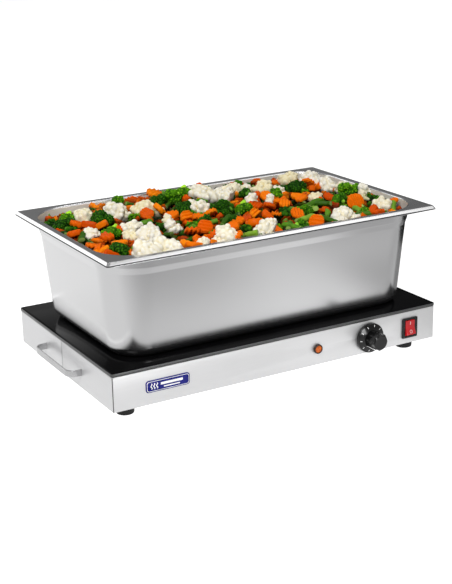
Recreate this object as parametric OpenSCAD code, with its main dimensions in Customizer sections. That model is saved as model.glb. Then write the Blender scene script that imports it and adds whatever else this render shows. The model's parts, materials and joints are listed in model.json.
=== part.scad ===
// Electric steam table unit: a glass-topped warming base that carries one full-size gastronorm pan.
// Frame: origin at the centre of the overall footprint on the worktop, +X to the right, +Y to the back, +Z up.

/* [Base] */
// Length of the steel casing, end to end
case_l = 532; // [524:1:560]
// Width of the steel casing, front to back
case_w = 324; // [318:1:350]
// Height of the casing's walls
case_h = 49; // [49:1:56]
// Outer radius of the casing's bent corners
case_r = 2.5; // [2:0.5:6]
// Thickness of the casing's sheet
sheet_t = 1; // [0.8:0.1:1.2]
// Distance of the end seam behind the centre line
seam_y = 6; // [-20:1:20]

/* [Glass top] */
// Thickness of the black glass
glass_t = 4; // [3:0.5:6]
// Overhang of the glass past the casing, on each side
glass_lip = 1; // [0:0.5:3]
// Radius of the glass's corners
glass_r = 5; // [3:1:10]
// Thickness of the silicone seal under the glass
seal_t = 1; // [0.5:0.5:2]

/* [Feet] */
// Height of the rubber feet
foot_h = 12; // [10:1:20]
// Diameter of the rubber feet
foot_d = 26; // [22:1:30]
// Distance of the left feet from the left end
foot_left = 26; // [22:1:60]
// Distance of the right feet from the right end
foot_right = 41; // [22:1:60]
// Distance of the feet from the front and the back
foot_in = 20; // [18:1:40]

/* [Handles] */
// Spacing of a handle's two legs
handle_l = 124; // [90:2:160]
// Height of the handle's flat strap
handle_h = 9.5; // [8:0.5:14]
// Thickness of the handle's strap
handle_t = 2; // [1.5:0.5:3]
// Reach of the handle from the end wall
handle_out = 20; // [18:1:40]
// Outer bend radius of the handle
handle_r = 14; // [6:1:16]

/* [Controls] */
// Height of the controls' centres above the worktop
ctrl_z = 36; // [34:1:38]
// Place of the thermostat knob along the front
knob_x = 145; // [110:1:160]
// Diameter of the knob's skirt
knob_d = 44.5; // [36:0.5:48]
// Depth of the knob's skirt
skirt_h = 9; // [6:1:10]
// Depth of the knob's grip in front of the skirt
grip_h = 21; // [12:0.5:24]
// Diameter of the knob's grip
grip_d = 25; // [20:1:28]
// Place of the rocker switch along the front
switch_x = 219.5; // [205:0.5:232]
// Tilt of the rocker to either side of its middle
rocker_tilt = 10; // [6:1:12]
// Place of the pilot lamp along the front
pilot_x = 55.5; // [30:0.5:80]
// Diameter of the pilot lamp's lens
pilot_d = 14; // [12:0.5:18]
// Place of the label's centre along the front
badge_x = -185; // [-200:1:-120]
// Place of the cable gland along the back
gland_x = 200; // [150:1:215]

/* [Pan] */
// Length over the pan's rim
pan_l = 530; // [520:1:540]
// Width over the pan's rim
pan_w = 325; // [315:1:335]
// Height of the pan, rim included
pan_h = 150; // [100:5:200]
// Thickness of the pan's sheet
pan_t = 1; // [0.8:0.1:1.2]
// Width of the flat rim along the sides
rim_w = 13.5; // [12:0.5:18]
// Plan radius of the opening's corners
open_r = 60; // [40:1:70]
// Draft of the pan's walls, in degrees
pan_draft = 5.5; // [3:0.5:6]

/* [Hidden] */
$fn = 48;
fit = 0.05;
gap = 0.2;

// Heights, measured up from the worktop
z_case = foot_h;
z_rim = z_case + case_h;
z_glass = z_rim + seal_t;
z_top = z_glass + glass_t;
top_flange = 12;
low_flange = 12;
z_floor = z_case + sheet_t;

// How far the knob and the gland stand out of the front and the back
knob_gap = 1;
knob_reach = knob_gap + skirt_h + grip_h;
gland_hex_h = 5;
gland_dome_h = 16;
gland_reach = gland_hex_h + gland_dome_h;
// The casing's centre in the frame: it centres the whole footprint on the origin
body_y = (knob_reach - gland_reach) / 2;

// Heater pack, under the glass
spread_l = 470;
spread_w = 262;
spread_t = 1.5;
tube_d = 6.5;
run_l = 360;
run_pitch = 44;
runs = 6;
z_spread = z_glass - spread_t;
z_tube = z_spread - tube_d / 2;
clamp_t = 1.5;
clamp_w = 12;
clamp_l = 256;
z_clamp = z_tube - tube_d / 2 - clamp_t;
pad_t = 8;
pad_front = -112;
pad_back = 132;
clamp_nut_h = 2;
z_pad = z_clamp - clamp_nut_h - pad_t;
shield_t = 1;
z_shield = z_pad - shield_t;
clamp_xs = [-140, 0, 140];
cutout_x = 96;
rail_x = 150;
rail_w = 24;
rail_t = 1.2;
pin_x = 226;

// Thermostat, behind the knob
stat_w = 36;
stat_h = 30;
stat_d = 24;
stat_plate = [42, 18, 1.5];
stat_screw = 28;
shaft_r = 3;
shaft_in = 12;
capillary_r = 0.75;
bulb_r = 3;
bulb_l = 80;

// Ribs of the knob's grip
rib_r = 1.7;
rib_at = grip_d / 2 - 0.6;

// Switch
bezel = [27.5, 31, 2.2];
well = [17, 25.4, 20];
well_wall = 1.4;
pivot_z = -2;
rocker_w = 16.2;
rocker_r = 12.3;
trunnion_r = 1.5;
seesaw_z = pivot_z - 11.8;
seesaw_tilt = 8;

// Pilot lamp
pilot_h = 3.8;
pilot_body_d = 9.8;
pilot_body_l = 20;

// Rear gland
gland_d = 15.2;
cable_d = 8;
dome_hole_d = 10;

// Label
badge_size = [66, 17, 0.6];

// Place of the earth stud in the bottom plate
earth_at = [186, 86];

// Fasteners
m3 = 3;
m4 = 4;

// Leads inside the casing: hand-picked routes in the casing's own frame
lead_r = 1.1;
live_in = [[196, 128, 29], [196, 116, 29], [222, 98, 26], [248, 84, 26], [250, 40, 26], [250, -70, 26],
           [244, -108, 26], [223.5, -120, 30], [223.5, -132.8, 30]];
live_out = [[223.5, -132.8, 42], [223.5, -124, 42], [200, -117, 40], [176, -117, 36], [158, -121, 32],
            [154, -125, 32], [154, -131, 32]];
live_cutout = [[142, -131, 32], [142, -124, 32], [134, -113, 24], [124, -90, 22], [100, -20, 24],
               [96, -5, 34], [96, -5, 46.5]];
live_heat = [[96, 5, 46.5], [96, 5, 36], [104, 22, 24], [124, 80, 20], [131, 124, 22], [164, 126, 32],
             [186, 124, 37.5], [226, 122, 38], [244, 120, 38], [248, 112, 50], [248, 110, 57.25],
             [240, 110, 57.25]];
pilot_live = [[53.5, -142, 36], [53.5, -135, 36], [70, -124, 28], [112, -122, 26], [130, -120, 27],
              [136, -124, 32], [136, -131, 32]];
neutral_in = [[204, 128, 29], [204, 119, 29], [224, 106, 33], [256, 92, 33], [257, 40, 33],
              [257, -74, 33], [246, -113, 36], [230, -115, 37], [215.5, -121, 30], [215.5, -132.8, 30]];
neutral_out = [[215.5, -132.8, 43.15], [215.5, -127, 43.15], [228, -119, 52], [250, -116, 56],
               [248, -110, 57.25], [240, -110, 57.25]];
pilot_neutral = [[57.5, -142, 36], [57.5, -135, 36], [80, -127, 44], [120, -127, 45], [180, -124, 46],
                 [200, -123, 45], [215.5, -127, 40.85], [215.5, -132.8, 40.85]];
earth = [[212, 128, 29], [212, 120, 29], [206, 104, 20], [194, 91.3, 17.7], [188.2, 87.5, 17.7]];
capillary = [[127, -146, 28], [121, -146, 28], [112, -136, 28], [104, -120, 38], [98, -118, 49],
             [93, -113, 52], [84, -100, 52], [70, -60, 51.6], [56, -14, 51.6], [50, -3, 54],
             [44, 0, 57.5], [40, 0, 57.5]];

// ---------- shared shapes ----------

// A rectangle with round corners, centred
module plate(l, w, r) {
    square([l - 2 * r, w], center = true);
    square([l, w - 2 * r], center = true);
    for (x = [-1, 1], y = [-1, 1]) translate([x * (l / 2 - r), y * (w / 2 - r)]) circle(r);
}

module slab(l, w, h, r) linear_extrude(h) plate(l, w, r);

// Children stand out of the front wall: local X to the right, local Y up, local Z outward
module at_front(x, z) translate([x, -case_w / 2, z]) rotate([90, 0, 0]) children();

// Children stand out of the back wall, local Z outward
module at_back(x, z) translate([x, case_w / 2, z]) rotate([-90, 0, 0]) children();

module hexagon(across, h) cylinder(d = across / cos(30), h = h, $fn = 6);

// A pan-head screw standing on its head's underside: shank up from z = 0, head below
module screw(d, l, head_d, head_h) {
    cylinder(d = d, h = l);
    difference() {
        translate([0, 0, -head_h]) cylinder(d = head_d, h = head_h);
        for (a = [0, 90]) rotate(a)
            translate([-head_d / 4, -0.4, -head_h - 1]) cube([head_d / 2, 0.8, 1 + head_h * 0.5]);
    }
}

module nut(d, across, h) {
    difference() {
        hexagon(across, h);
        translate([0, 0, -1]) cylinder(d = d + 0.1, h = h + 2);
    }
}

function unit(v) = v / norm(v);
// Direction of a route at its point i
function heading(p, i) = unit(p[min(i + 1, len(p) - 1)] - p[max(i - 1, 0)]);
// A route with its bends rounded: every point but the ends is cut back and replaced by three
function eased(p) = [for (i = [0:len(p) - 1])
    let (a = p[max(i - 1, 0)], b = p[i], c = p[min(i + 1, len(p) - 1)])
    each (i == 0 || i == len(p) - 1) ? [b]
        : [b + (a - b) * 0.3, b + (a - b) * 0.07 + (c - b) * 0.07, b + (c - b) * 0.3]];

// A round lead of radius r swept along a route
module lead(route, r, sides = 8) {
    p = eased(route);
    n = len(p);
    points = [for (i = [0:n - 1])
        let (t = heading(p, i),
             side = unit(cross(t, abs(t[2]) > 0.9 ? [1, 0, 0] : [0, 0, 1])),
             up = cross(side, t))
        for (k = [0:sides - 1]) p[i] + r * (cos(360 * k / sides) * side + sin(360 * k / sides) * up)];
    walls = [for (i = [0:n - 2], k = [0:sides - 1])
        let (a = i * sides + k, b = i * sides + (k + 1) % sides) [a, b, b + sides, a + sides]];
    ends = [[for (k = [sides - 1:-1:0]) k], [for (k = [0:sides - 1]) (n - 1) * sides + k]];
    polyhedron(points, concat(walls, ends));
}

// ---------- casing ----------

// The closed band of four walls with an inward flange at the top and at the bottom
module casing_band() {
    translate([0, 0, z_case]) difference() {
        slab(case_l, case_w, case_h, case_r);
        translate([0, 0, -1])
            slab(case_l - 2 * sheet_t, case_w - 2 * sheet_t, case_h + 2, case_r - sheet_t);
    }
    for (f = [[z_rim - sheet_t, top_flange], [z_floor, low_flange]]) translate([0, 0, f[0]]) difference() {
        slab(case_l - sheet_t, case_w - sheet_t, sheet_t, case_r - sheet_t / 2);
        translate([0, 0, -1])
            slab(case_l - 2 * f[1], case_w - 2 * f[1], sheet_t + 2, case_r);
    }
}

// Places of the eight screws that hold the bottom plate to the lower flange
module at_bottom_screws() {
    for (x = [-1, 1]) {
        for (y = [-100, 100]) translate([x * (case_l / 2 - 7), y]) children();
        for (y = [-1, 1]) translate([x * 120, y * (case_w / 2 - 7)]) children();
    }
}

// Slots in an end wall that the handle's legs pass through
module handle_slots() {
    for (x = [-1, 1], y = [-1, 1])
        translate([x * case_l / 2, y * (handle_l / 2), ctrl_z])
            cube([4 * sheet_t, handle_t + 2 * gap, handle_h + 2 * gap], center = true);
}

module casing_cuts() {
    handle_slots();
    at_front(switch_x, ctrl_z)
        translate([0, 0, -2 * sheet_t]) linear_extrude(3 * sheet_t)
            square([well[0] + 2 * well_wall + 2 * gap, well[1] + 2 * well_wall + 2 * gap], center = true);
    at_front(knob_x, ctrl_z) translate([0, 0, -2 * sheet_t]) {
        cylinder(d = 10, h = 3 * sheet_t);
        for (x = [-1, 1]) translate([x * stat_screw / 2, 0]) cylinder(d = m4 + 0.4, h = 3 * sheet_t);
    }
    at_front(pilot_x, ctrl_z) translate([0, 0, -2 * sheet_t])
        cylinder(d = pilot_body_d + 0.4, h = 3 * sheet_t);
    at_back(gland_x, ctrl_z) translate([0, 0, -2 * sheet_t])
        cylinder(d = gland_d + 0.4, h = 3 * sheet_t);
    // Cooling slots in the back wall
    for (i = [0:11]) translate([-150 + i * 14, case_w / 2, ctrl_z])
        cube([4, 4 * sheet_t, 22], center = true);
    translate([0, 0, z_floor - 1]) at_bottom_screws() cylinder(d = m3 + 0.2, h = sheet_t + 2);
}

// One half of the casing: front = 1 keeps what is in front of the end seam, front = -1 the rest
module casing_half(front) {
    reach = case_w;
    difference() {
        casing_band();
        translate([-case_l, front > 0 ? seam_y - gap / 2 : seam_y + gap / 2 - reach, -1])
            cube([2 * case_l, reach, z_top]);
        casing_cuts();
    }
}

module front_shell() color("silver") casing_half(1);
module rear_shell() color("silver") casing_half(-1);

// Backing strap spot-welded across the seam inside an end wall
module seam_strap(side) color("silver")
    translate([side * (case_l / 2 - sheet_t * 1.5), seam_y, ctrl_z])
        cube([sheet_t, 30, 40], center = true);

module bottom_plate() color("silver") difference() {
    translate([0, 0, z_case])
        slab(case_l - 2 * sheet_t - 1, case_w - 2 * sheet_t - 1, sheet_t, case_r);
    translate([0, 0, z_case - 1]) {
        at_bottom_screws() cylinder(d = m3 + 0.4, h = sheet_t + 2);
        at_feet() cylinder(d = m4 + 0.4, h = sheet_t + 2);
        // Two banks of cooling slots
        for (x = [-1, 1], i = [-4:4]) translate([x * 75 + i * 9, 0, sheet_t / 2 + 1])
            cube([4, 60, sheet_t * 3], center = true);
        translate(earth_at) cylinder(d = m4 + 0.2, h = sheet_t + 2);
    }
}

module bottom_screws() color("gainsboro")
    translate([0, 0, z_case]) at_bottom_screws() screw(m3, 5, 5.6, 1.8);

// ---------- feet ----------

foot_x = [-case_l / 2 + foot_left, case_l / 2 - foot_right];
foot_y = case_w / 2 - foot_in;

module at_feet() for (x = foot_x, y = [-1, 1]) translate([x, y * foot_y]) children();

// A turned rubber foot with a pocket for the screw's head
module foot(x, y) color([0.08, 0.08, 0.08]) translate([x, y * foot_y]) difference() {
    r = foot_d / 2;
    round_r = 2;
    union() {
        translate([0, 0, round_r]) cylinder(r1 = r - 0.6, r2 = r, h = foot_h - round_r);
        cylinder(r = r - 0.6 - round_r, h = round_r + 1);
        rotate_extrude() translate([r - 0.6 - round_r, round_r]) circle(round_r);
    }
    translate([0, 0, -1]) cylinder(d = 12, h = foot_h - 4 + 1);
    translate([0, 0, -1]) cylinder(d = m4 + 0.4, h = foot_h + 2);
}

module foot_washers() color("gainsboro") translate([0, 0, foot_h - 5]) at_feet() difference() {
    cylinder(d = 11, h = 1);
    translate([0, 0, -1]) cylinder(d = m4 + 0.3, h = 3);
}

module foot_screws() color("gainsboro")
    translate([0, 0, foot_h - 5]) at_feet() screw(m4, 12, 8, 2.6);

module foot_nuts() color("gainsboro") translate([0, 0, z_floor]) at_feet() nut(m4, 7, 3.2);

// ---------- handles ----------

// A flat strap bent into a bail; its ends pass through the wall and are turned over inside
module handle(side) color("gainsboro")
    translate([side * case_l / 2, 0, ctrl_z - handle_h / 2]) mirror([side < 0 ? 1 : 0, 0, 0])
    linear_extrude(handle_h) {
        difference() {
            plate(2 * handle_out, handle_l + handle_t, handle_r);
            plate(2 * (handle_out - handle_t), handle_l - handle_t, handle_r - handle_t);
            translate([-100, -100]) square([100, 200]);
        }
        for (y = [-1, 1]) {
            translate([-sheet_t - handle_t, y * handle_l / 2 - handle_t / 2])
                square([sheet_t + handle_t + 1, handle_t]);
            translate([-sheet_t - handle_t, y > 0 ? handle_l / 2 - 10 : -handle_l / 2])
                square([handle_t, 10]);
        }
    }

// ---------- glass top ----------

module glass_plate() color([0.02, 0.02, 0.02]) translate([0, 0, z_glass])
    slab(case_l + 2 * glass_lip, case_w + 2 * glass_lip, glass_t, glass_r);

module glass_seal() color([0.12, 0.12, 0.12]) translate([0, 0, z_rim]) difference() {
    slab(case_l - 2, case_w - 2, seal_t, case_r);
    translate([0, 0, -1]) slab(case_l - 20, case_w - 20, seal_t + 2, case_r);
}

// ---------- heater pack ----------

module heat_spreader() color([0.8, 0.8, 0.82])
    translate([0, 0, z_spread]) slab(spread_l, spread_w, spread_t, 8);

// Centre line of run i, counted from the front
function run_y(i) = (i - (runs - 1) / 2) * run_pitch;

// One metal-sheathed tube bent to and fro: straight runs joined by half turns
module heating_element() color([0.35, 0.35, 0.36]) translate([0, 0, z_tube]) {
    for (i = [0:runs - 1]) translate([-run_l / 2, run_y(i), 0]) rotate([0, 90, 0])
        cylinder(d = tube_d, h = (i == 0 || i == runs - 1) ? run_l / 2 + pin_x - 12 : run_l);
    for (i = [0:runs - 2]) let (end = i % 2 == 0 ? -1 : 1)
        translate([end * run_l / 2, (run_y(i) + run_y(i + 1)) / 2, 0]) rotate(end > 0 ? -90 : 90)
            rotate_extrude(angle = 180) translate([run_pitch / 2, 0]) circle(d = tube_d);
}

module at_element_ends() for (i = [0, runs - 1])
    translate([pin_x - 12, run_y(i), z_tube]) rotate([0, 90, 0]) children();

module element_bushes() color("white") at_element_ends() cylinder(d = tube_d - 0.5, h = 6);
module element_pins() color("gainsboro") at_element_ends() translate([0, 0, 6]) cylinder(d = m4, h = 20);

// Flat bars that hold the tube up against the spreader
module element_clamps() color("silver") for (x = clamp_xs) translate([x, 0, z_clamp]) difference() {
    translate([-clamp_w / 2, -clamp_l / 2]) cube([clamp_w, clamp_l, clamp_t]);
    for (y = [-1, 1]) translate([0, y * 122, -1]) cylinder(d = m4 + 0.2, h = clamp_t + 2);
}

module clamp_studs() color("gainsboro") for (x = clamp_xs, y = [-1, 1]) translate([x, y * 122, 0]) {
    translate([0, 0, z_clamp - 0.4]) cylinder(d = m4, h = z_spread - z_clamp + 0.4);
    translate([0, 0, z_clamp - clamp_nut_h]) nut(m4 - 0.1, 7, clamp_nut_h);
}

// Hole below the thermal cut-out for its leads
module cutout_hole(z, h) translate([cutout_x, 0, z - 1]) cylinder(d = 20, h = h + 2);

module insulation_pad() color([0.93, 0.91, 0.84]) difference() {
    translate([-spread_l / 2, pad_front, z_pad]) cube([spread_l, pad_back - pad_front, pad_t]);
    cutout_hole(z_pad, pad_t);
}

module heat_shield() color([0.8, 0.8, 0.82]) difference() {
    l = spread_l + 2;
    w = pad_back - pad_front + 2;
    translate([-l / 2, pad_front - 1, z_shield]) cube([l, w, shield_t + 6]);
    translate([-spread_l / 2 - 0.2, pad_front - 0.2, z_shield + shield_t]) cube([l - 1.6, w - 1.6, 10]);
    cutout_hole(z_shield, shield_t);
}

// A channel across the bottom plate that carries the heater pack
module support_rail(side) color("silver") translate([side * rail_x, 0, z_floor]) difference() {
    h = z_shield - z_floor;
    translate([-rail_w / 2, -105, 0]) cube([rail_w, 225, h]);
    translate([-rail_w / 2 + rail_t, -106, -1]) cube([rail_w - 2 * rail_t, 227, h - rail_t + 1]);
}

// A snap-disc cut-out clamped under the spreader
module thermal_cutout() color([0.15, 0.12, 0.1]) translate([cutout_x, 0, 0]) {
    translate([0, 0, z_spread - 1]) cylinder(d = 20, h = 1);
    translate([0, 0, z_spread - 10]) cylinder(d = 15.5, h = 9.5);
    for (y = [-5, 5]) translate([-3, y - 0.4, z_spread - 14]) cube([6, 0.8, 5]);
}

// ---------- thermostat and knob ----------

module thermostat_body() color([0.75, 0.74, 0.7]) at_front(knob_x, ctrl_z) difference() {
    back = -sheet_t - stat_plate[2];
    union() {
        translate([0, 0, back]) linear_extrude(stat_plate[2])
            square([stat_plate[0], stat_plate[1]], center = true);
        translate([-stat_w / 2, -stat_h / 2, back - stat_d]) cube([stat_w, stat_h, stat_d + 0.01]);
    }
    translate([0, 0, back - shaft_in]) cylinder(r = shaft_r + fit, h = shaft_in + 5);
    for (x = [-1, 1]) translate([x * stat_screw / 2, 0, back - 5]) cylinder(d = m4 + 0.1, h = 10);
}

module thermostat_terminals() color([0.8, 0.65, 0.3])
    at_front(knob_x, ctrl_z) for (x = [-9, -3, 9], y = [-4])
        translate([x - 0.4, y - 3, -sheet_t - stat_plate[2] - stat_d - 4.5]) cube([0.8, 6, 4.5]);

module thermostat_screws() color("gainsboro") at_front(knob_x, ctrl_z)
    for (x = [-1, 1]) translate([x * stat_screw / 2, 0, 0]) mirror([0, 0, 1]) screw(m4, 6, 7, 0.8);

// Sensing bulb under the spreader and the capillary that joins it to the thermostat
module thermostat_capillary() color([0.72, 0.45, 0.28]) {
    lead(capillary, capillary_r);
    translate([40 - bulb_l, 0, 57.5]) rotate([0, 90, 0]) cylinder(r = bulb_r - 0.1, h = bulb_l);
}

module thermostat_shaft() color("gainsboro") at_front(knob_x, ctrl_z) {
    tail = sheet_t + stat_plate[2] + shaft_in - 1;
    translate([0, 0, -tail]) cylinder(r = shaft_r, h = tail + knob_gap + skirt_h + grip_h - 4);
}

// Where the white line is let into the lower left rib of the grip
module pointer_slot() rotate(-45) translate([-0.6, -rib_at - rib_r, knob_gap + skirt_h])
    cube([1.2, 0.5, grip_h - 2]);

// Turned skirt and a ribbed grip, bored for the shaft
module control_knob() color([0.06, 0.06, 0.06]) at_front(knob_x, ctrl_z) difference() {
    union() {
        translate([0, 0, knob_gap]) cylinder(d = knob_d, h = skirt_h - 2);
        translate([0, 0, knob_gap + skirt_h - 2]) cylinder(d1 = knob_d, d2 = knob_d - 3, h = 2);
        translate([0, 0, knob_gap + skirt_h]) {
            cylinder(d = grip_d, h = grip_h - 1);
            translate([0, 0, grip_h - 1]) cylinder(d1 = grip_d, d2 = grip_d - 2, h = 1);
            for (a = [0:45:315]) rotate(a) translate([rib_at, 0]) cylinder(r = rib_r, h = grip_h - 1);
        }
    }
    translate([0, 0, knob_gap - 1]) cylinder(r = shaft_r + 0.02, h = 1 + skirt_h + grip_h - 4 + 0.02);
    translate([0, 0, knob_gap - 1]) cylinder(d = knob_d - 8, h = 1 + 3);
    pointer_slot();
}

// White marks printed on the skirt, and the pointer line along the grip
module dial_marks() color("white") at_front(knob_x, ctrl_z) {
    translate([0, 0, knob_gap + skirt_h]) for (i = [0:9]) rotate(-14 + i * 36)
        translate([-0.45, knob_d / 2 - 5]) cube([0.9, 2.8, 0.2]);
    pointer_slot();
}

// ---------- rocker switch ----------

module switch_housing() color([0.05, 0.05, 0.05]) at_front(switch_x, ctrl_z) difference() {
    union() {
        slab(bezel[0], bezel[1], bezel[2], 1.5);
        translate([-well[0] / 2 - well_wall, -well[1] / 2 - well_wall, -well[2] - 2])
            cube([well[0] + 2 * well_wall, well[1] + 2 * well_wall, well[2] + 2.01]);
    }
    translate([-well[0] / 2, -well[1] / 2, -well[2]]) cube([well[0], well[1], well[2] + 5]);
    translate([-20, 0, pivot_z]) rotate([0, 90, 0]) cylinder(r = trunnion_r + fit, h = 40);
}

// Children are drawn at the rocker's middle position and stored tipped with the upper half pressed in
module at_rocker() at_front(switch_x, ctrl_z) translate([0, 0, pivot_z])
    rotate([-rocker_tilt, 0, 0]) children();

module switch_rocker() color([0.8, 0.05, 0.05]) at_rocker() {
    intersection() {
        rotate([90, 0, 90]) translate([0, 0, -rocker_w / 2]) linear_extrude(rocker_w)
            polygon([[-13, 7.4], [0, 5], [13, 7.4], [13, 0], [6, -4.5], [-6, -4.5], [-13, 0]]);
        rotate([0, 90, 0]) translate([0, 0, -20]) cylinder(r = rocker_r, h = 40);
    }
    rotate([0, 90, 0]) translate([0, 0, -well[0] / 2 - 1]) cylinder(r = trunnion_r, h = well[0] + 2);
}

// Raised on and off marks: a bar above and a ring below
module rocker_legend() color("white") at_rocker() {
    slope = atan(2.4 / 13);
    translate([0, 0, 5]) rotate([slope, 0, 0]) translate([-0.5, 4.5, 0]) cube([1, 4.6, 0.15]);
    translate([0, 0, 5]) rotate([-slope, 0, 0]) translate([0, -6.4, 0]) difference() {
        cylinder(r = 2.4, h = 0.15);
        translate([0, 0, -1]) cylinder(r = 1.5, h = 3);
    }
}

// Sprung pin under the rocker that tips the contact
module rocker_plunger() color("gainsboro") at_rocker() translate([0, 0, -10.4]) cylinder(r = 1.4, h = 5.9);

module contact_seesaw() color([0.8, 0.65, 0.3])
    at_front(switch_x, ctrl_z) translate([0, 0, seesaw_z]) rotate([seesaw_tilt, 0, 0])
        translate([-2, -8, -0.8]) cube([4, 16, 0.8]);

module switch_terminals() color([0.8, 0.65, 0.3]) at_front(switch_x, ctrl_z) {
    // Centre post with the seesaw's cradle, and a contact post at each end
    for (y = [-7.2, 0, 7.2]) translate([-2.5, y - 0.5, -well[2]])
        cube([5, 1, well[2] + seesaw_z - (y == 0 ? 1.2 : 2.4)]);
    for (x = [-4, 4], y = [-6, 6]) translate([x - 3, y - 0.4, -well[2] - 2 - 7.2]) cube([6, 0.8, 7.2]);
}

// ---------- pilot lamp ----------

module pilot_lens() color([0.9, 0.4, 0.1]) at_front(pilot_x, ctrl_z) difference() {
    union() {
        cylinder(d = pilot_d, h = pilot_h - 1.2);
        translate([0, 0, pilot_h - 1.2]) cylinder(d1 = pilot_d, d2 = pilot_d - 3, h = 1.2);
    }
    translate([0, 0, -1]) cylinder(d = pilot_body_d - 2, h = 3.4);
}

module pilot_body() color([0.05, 0.05, 0.05]) at_front(pilot_x, ctrl_z) difference() {
    translate([0, 0, -pilot_body_l]) cylinder(d = pilot_body_d, h = pilot_body_l);
    translate([0, 0, -pilot_body_l + 1.5]) cylinder(d = pilot_body_d - 2, h = pilot_body_l);
}

module pilot_nut() color("gainsboro") at_front(pilot_x, ctrl_z)
    translate([0, 0, -sheet_t - 3]) nut(pilot_body_d, 14, 3);

module pilot_neon() color([0.95, 0.7, 0.5]) at_front(pilot_x, ctrl_z) {
    translate([0, 0, -pilot_body_l + 1.5]) cylinder(d = 5, h = 12);
    translate([0, 0, -pilot_body_l + 13.5]) sphere(d = 5);
}

module name_label() color([0.05, 0.05, 0.5]) at_front(badge_x, ctrl_z + 1.5)
    slab(badge_size[0], badge_size[1], badge_size[2], 4);

// ---------- cable entry ----------

module gland_body() color([0.1, 0.1, 0.1]) at_back(gland_x, ctrl_z) difference() {
    union() {
        hexagon(19, gland_hex_h);
        translate([0, 0, -9]) cylinder(d = gland_d, h = 9.01);
        cylinder(d = 15, h = gland_hex_h + 7);
    }
    translate([0, 0, -10]) cylinder(d = 12, h = 40);
}

module gland_dome_nut() color([0.1, 0.1, 0.1]) at_back(gland_x, ctrl_z) difference() {
    translate([0, 0, gland_hex_h]) {
        hexagon(19, 9);
        translate([0, 0, 9]) cylinder(d1 = 18.5, d2 = 13, h = gland_dome_h - 9);
    }
    translate([0, 0, gland_hex_h - 1]) cylinder(d = 15.1, h = 1 + 9);
    translate([0, 0, gland_hex_h]) cylinder(d = dome_hole_d, h = 30);
}

module gland_lock_nut() color([0.1, 0.1, 0.1]) at_back(gland_x, ctrl_z)
    translate([0, 0, -sheet_t - 4]) nut(gland_d, 21, 4);

// Rubber sleeve that grips the mains cable
module gland_seal() color([0.15, 0.15, 0.15]) at_back(gland_x, ctrl_z) difference() {
    union() {
        translate([0, 0, -4]) cylinder(d = 11.9, h = 4 + gland_hex_h + 7);
        translate([0, 0, -4]) cylinder(d = dome_hole_d - 0.1, h = 4 + gland_reach - 0.5);
    }
    translate([0, 0, -5]) cylinder(d = cable_d, h = 40);
}

// ---------- wiring ----------

module terminal_block() color("white") difference() {
    translate([190, 128, z_floor + 1]) cube([28, 16, 20]);
    for (x = [196, 204, 212]) translate([x, 136, z_floor + 15]) cylinder(d = 4.4, h = 10);
}

module terminal_screws() color("gainsboro")
    for (x = [196, 204, 212]) translate([x, 136, z_floor + 15]) cylinder(d = 4, h = 5);

// Bolt head, shank, nut and ring terminal, through the bottom plate
module earth_stud() color("gainsboro") translate([earth_at[0], earth_at[1], z_case]) {
    translate([0, 0, -1.6]) hexagon(7, 1.6);
    translate([0, 0, -0.1]) cylinder(d = m4, h = 14);
    translate([0, 0, sheet_t]) hexagon(7, 3);
    translate([0, 0, sheet_t + 3]) cylinder(d = 8, h = 0.6);
}

module leads_live() color([0.4, 0.22, 0.12])
    for (route = [live_in, live_out, live_cutout, live_heat, pilot_live]) lead(route, lead_r);

module leads_neutral() color([0.1, 0.3, 0.75])
    for (route = [neutral_in, neutral_out, pilot_neutral]) lead(route, lead_r);

module lead_earth() color([0.5, 0.75, 0.15]) lead(earth, lead_r);

// ---------- pan ----------

draft = tan(pan_draft);
heel_r = 18;
shoulder_z = pan_h - 28;
shoulder_in = 3.5;
neck_z = pan_h - 19;
lip_out = 3.6;
lip_drop = 4.6;
rim_r = 3;
arc_n = 8;

// Each row is [height, inset from the rim's edge, plan radius of the corner], from the floor up
heel = [for (a = [0:15:90]) [pan_t + heel_r * (1 - cos(a)),
    rim_w + shoulder_in + (shoulder_z - heel_r) * draft + heel_r * (1 - sin(a)),
    open_r - 13.5 - heel_r * (1 - sin(a))]];
wall = [[shoulder_z, rim_w + shoulder_in, open_r - 3.5], [neck_z, rim_w + 0.5, open_r - 0.5]];
throat = [for (a = [0:30:90]) [pan_h - 3 + 3 * sin(a), rim_w - 3 * (1 - cos(a)), open_r + 3 * (1 - cos(a))]];
brim = [[pan_h, lip_out, rim_r], [pan_h - lip_drop, 0, rim_r + 1.5]];
face = concat(heel, wall, throat, brim);

// The pan's outside is the inside's rows moved down and out by the sheet's thickness
function outside(row, i) = i < len(heel)
    ? let (a = 15 * i) [row[0] - pan_t * cos(a), row[1] - pan_t * sin(a), row[2] + pan_t * sin(a)]
    : i < len(heel) + 2 ? [row[0], row[1] - pan_t, row[2] + pan_t]
    : i < len(heel) + 6 ? let (a = 30 * (i - len(heel) - 2))
        [row[0] - pan_t * sin(a), row[1] - pan_t * cos(a), row[2] + pan_t * cos(a)]
    : i == len(face) - 2 ? [row[0] - pan_t, row[1] + 0.4, row[2]]
    : [row[0], row[1] + pan_t, row[2]];

// Points of a rounded rectangle at a row's height
function ring(row) = [for (q = [0:3], k = [0:arc_n])
    let (a = 90 * q + 90 * k / arc_n, r = row[2],
         cx = (q == 0 || q == 3 ? 1 : -1) * (pan_l / 2 - row[1] - r),
         cy = (q < 2 ? 1 : -1) * (pan_w / 2 - row[1] - r))
    [cx + r * cos(a), cy + r * sin(a), row[0]]];

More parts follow.
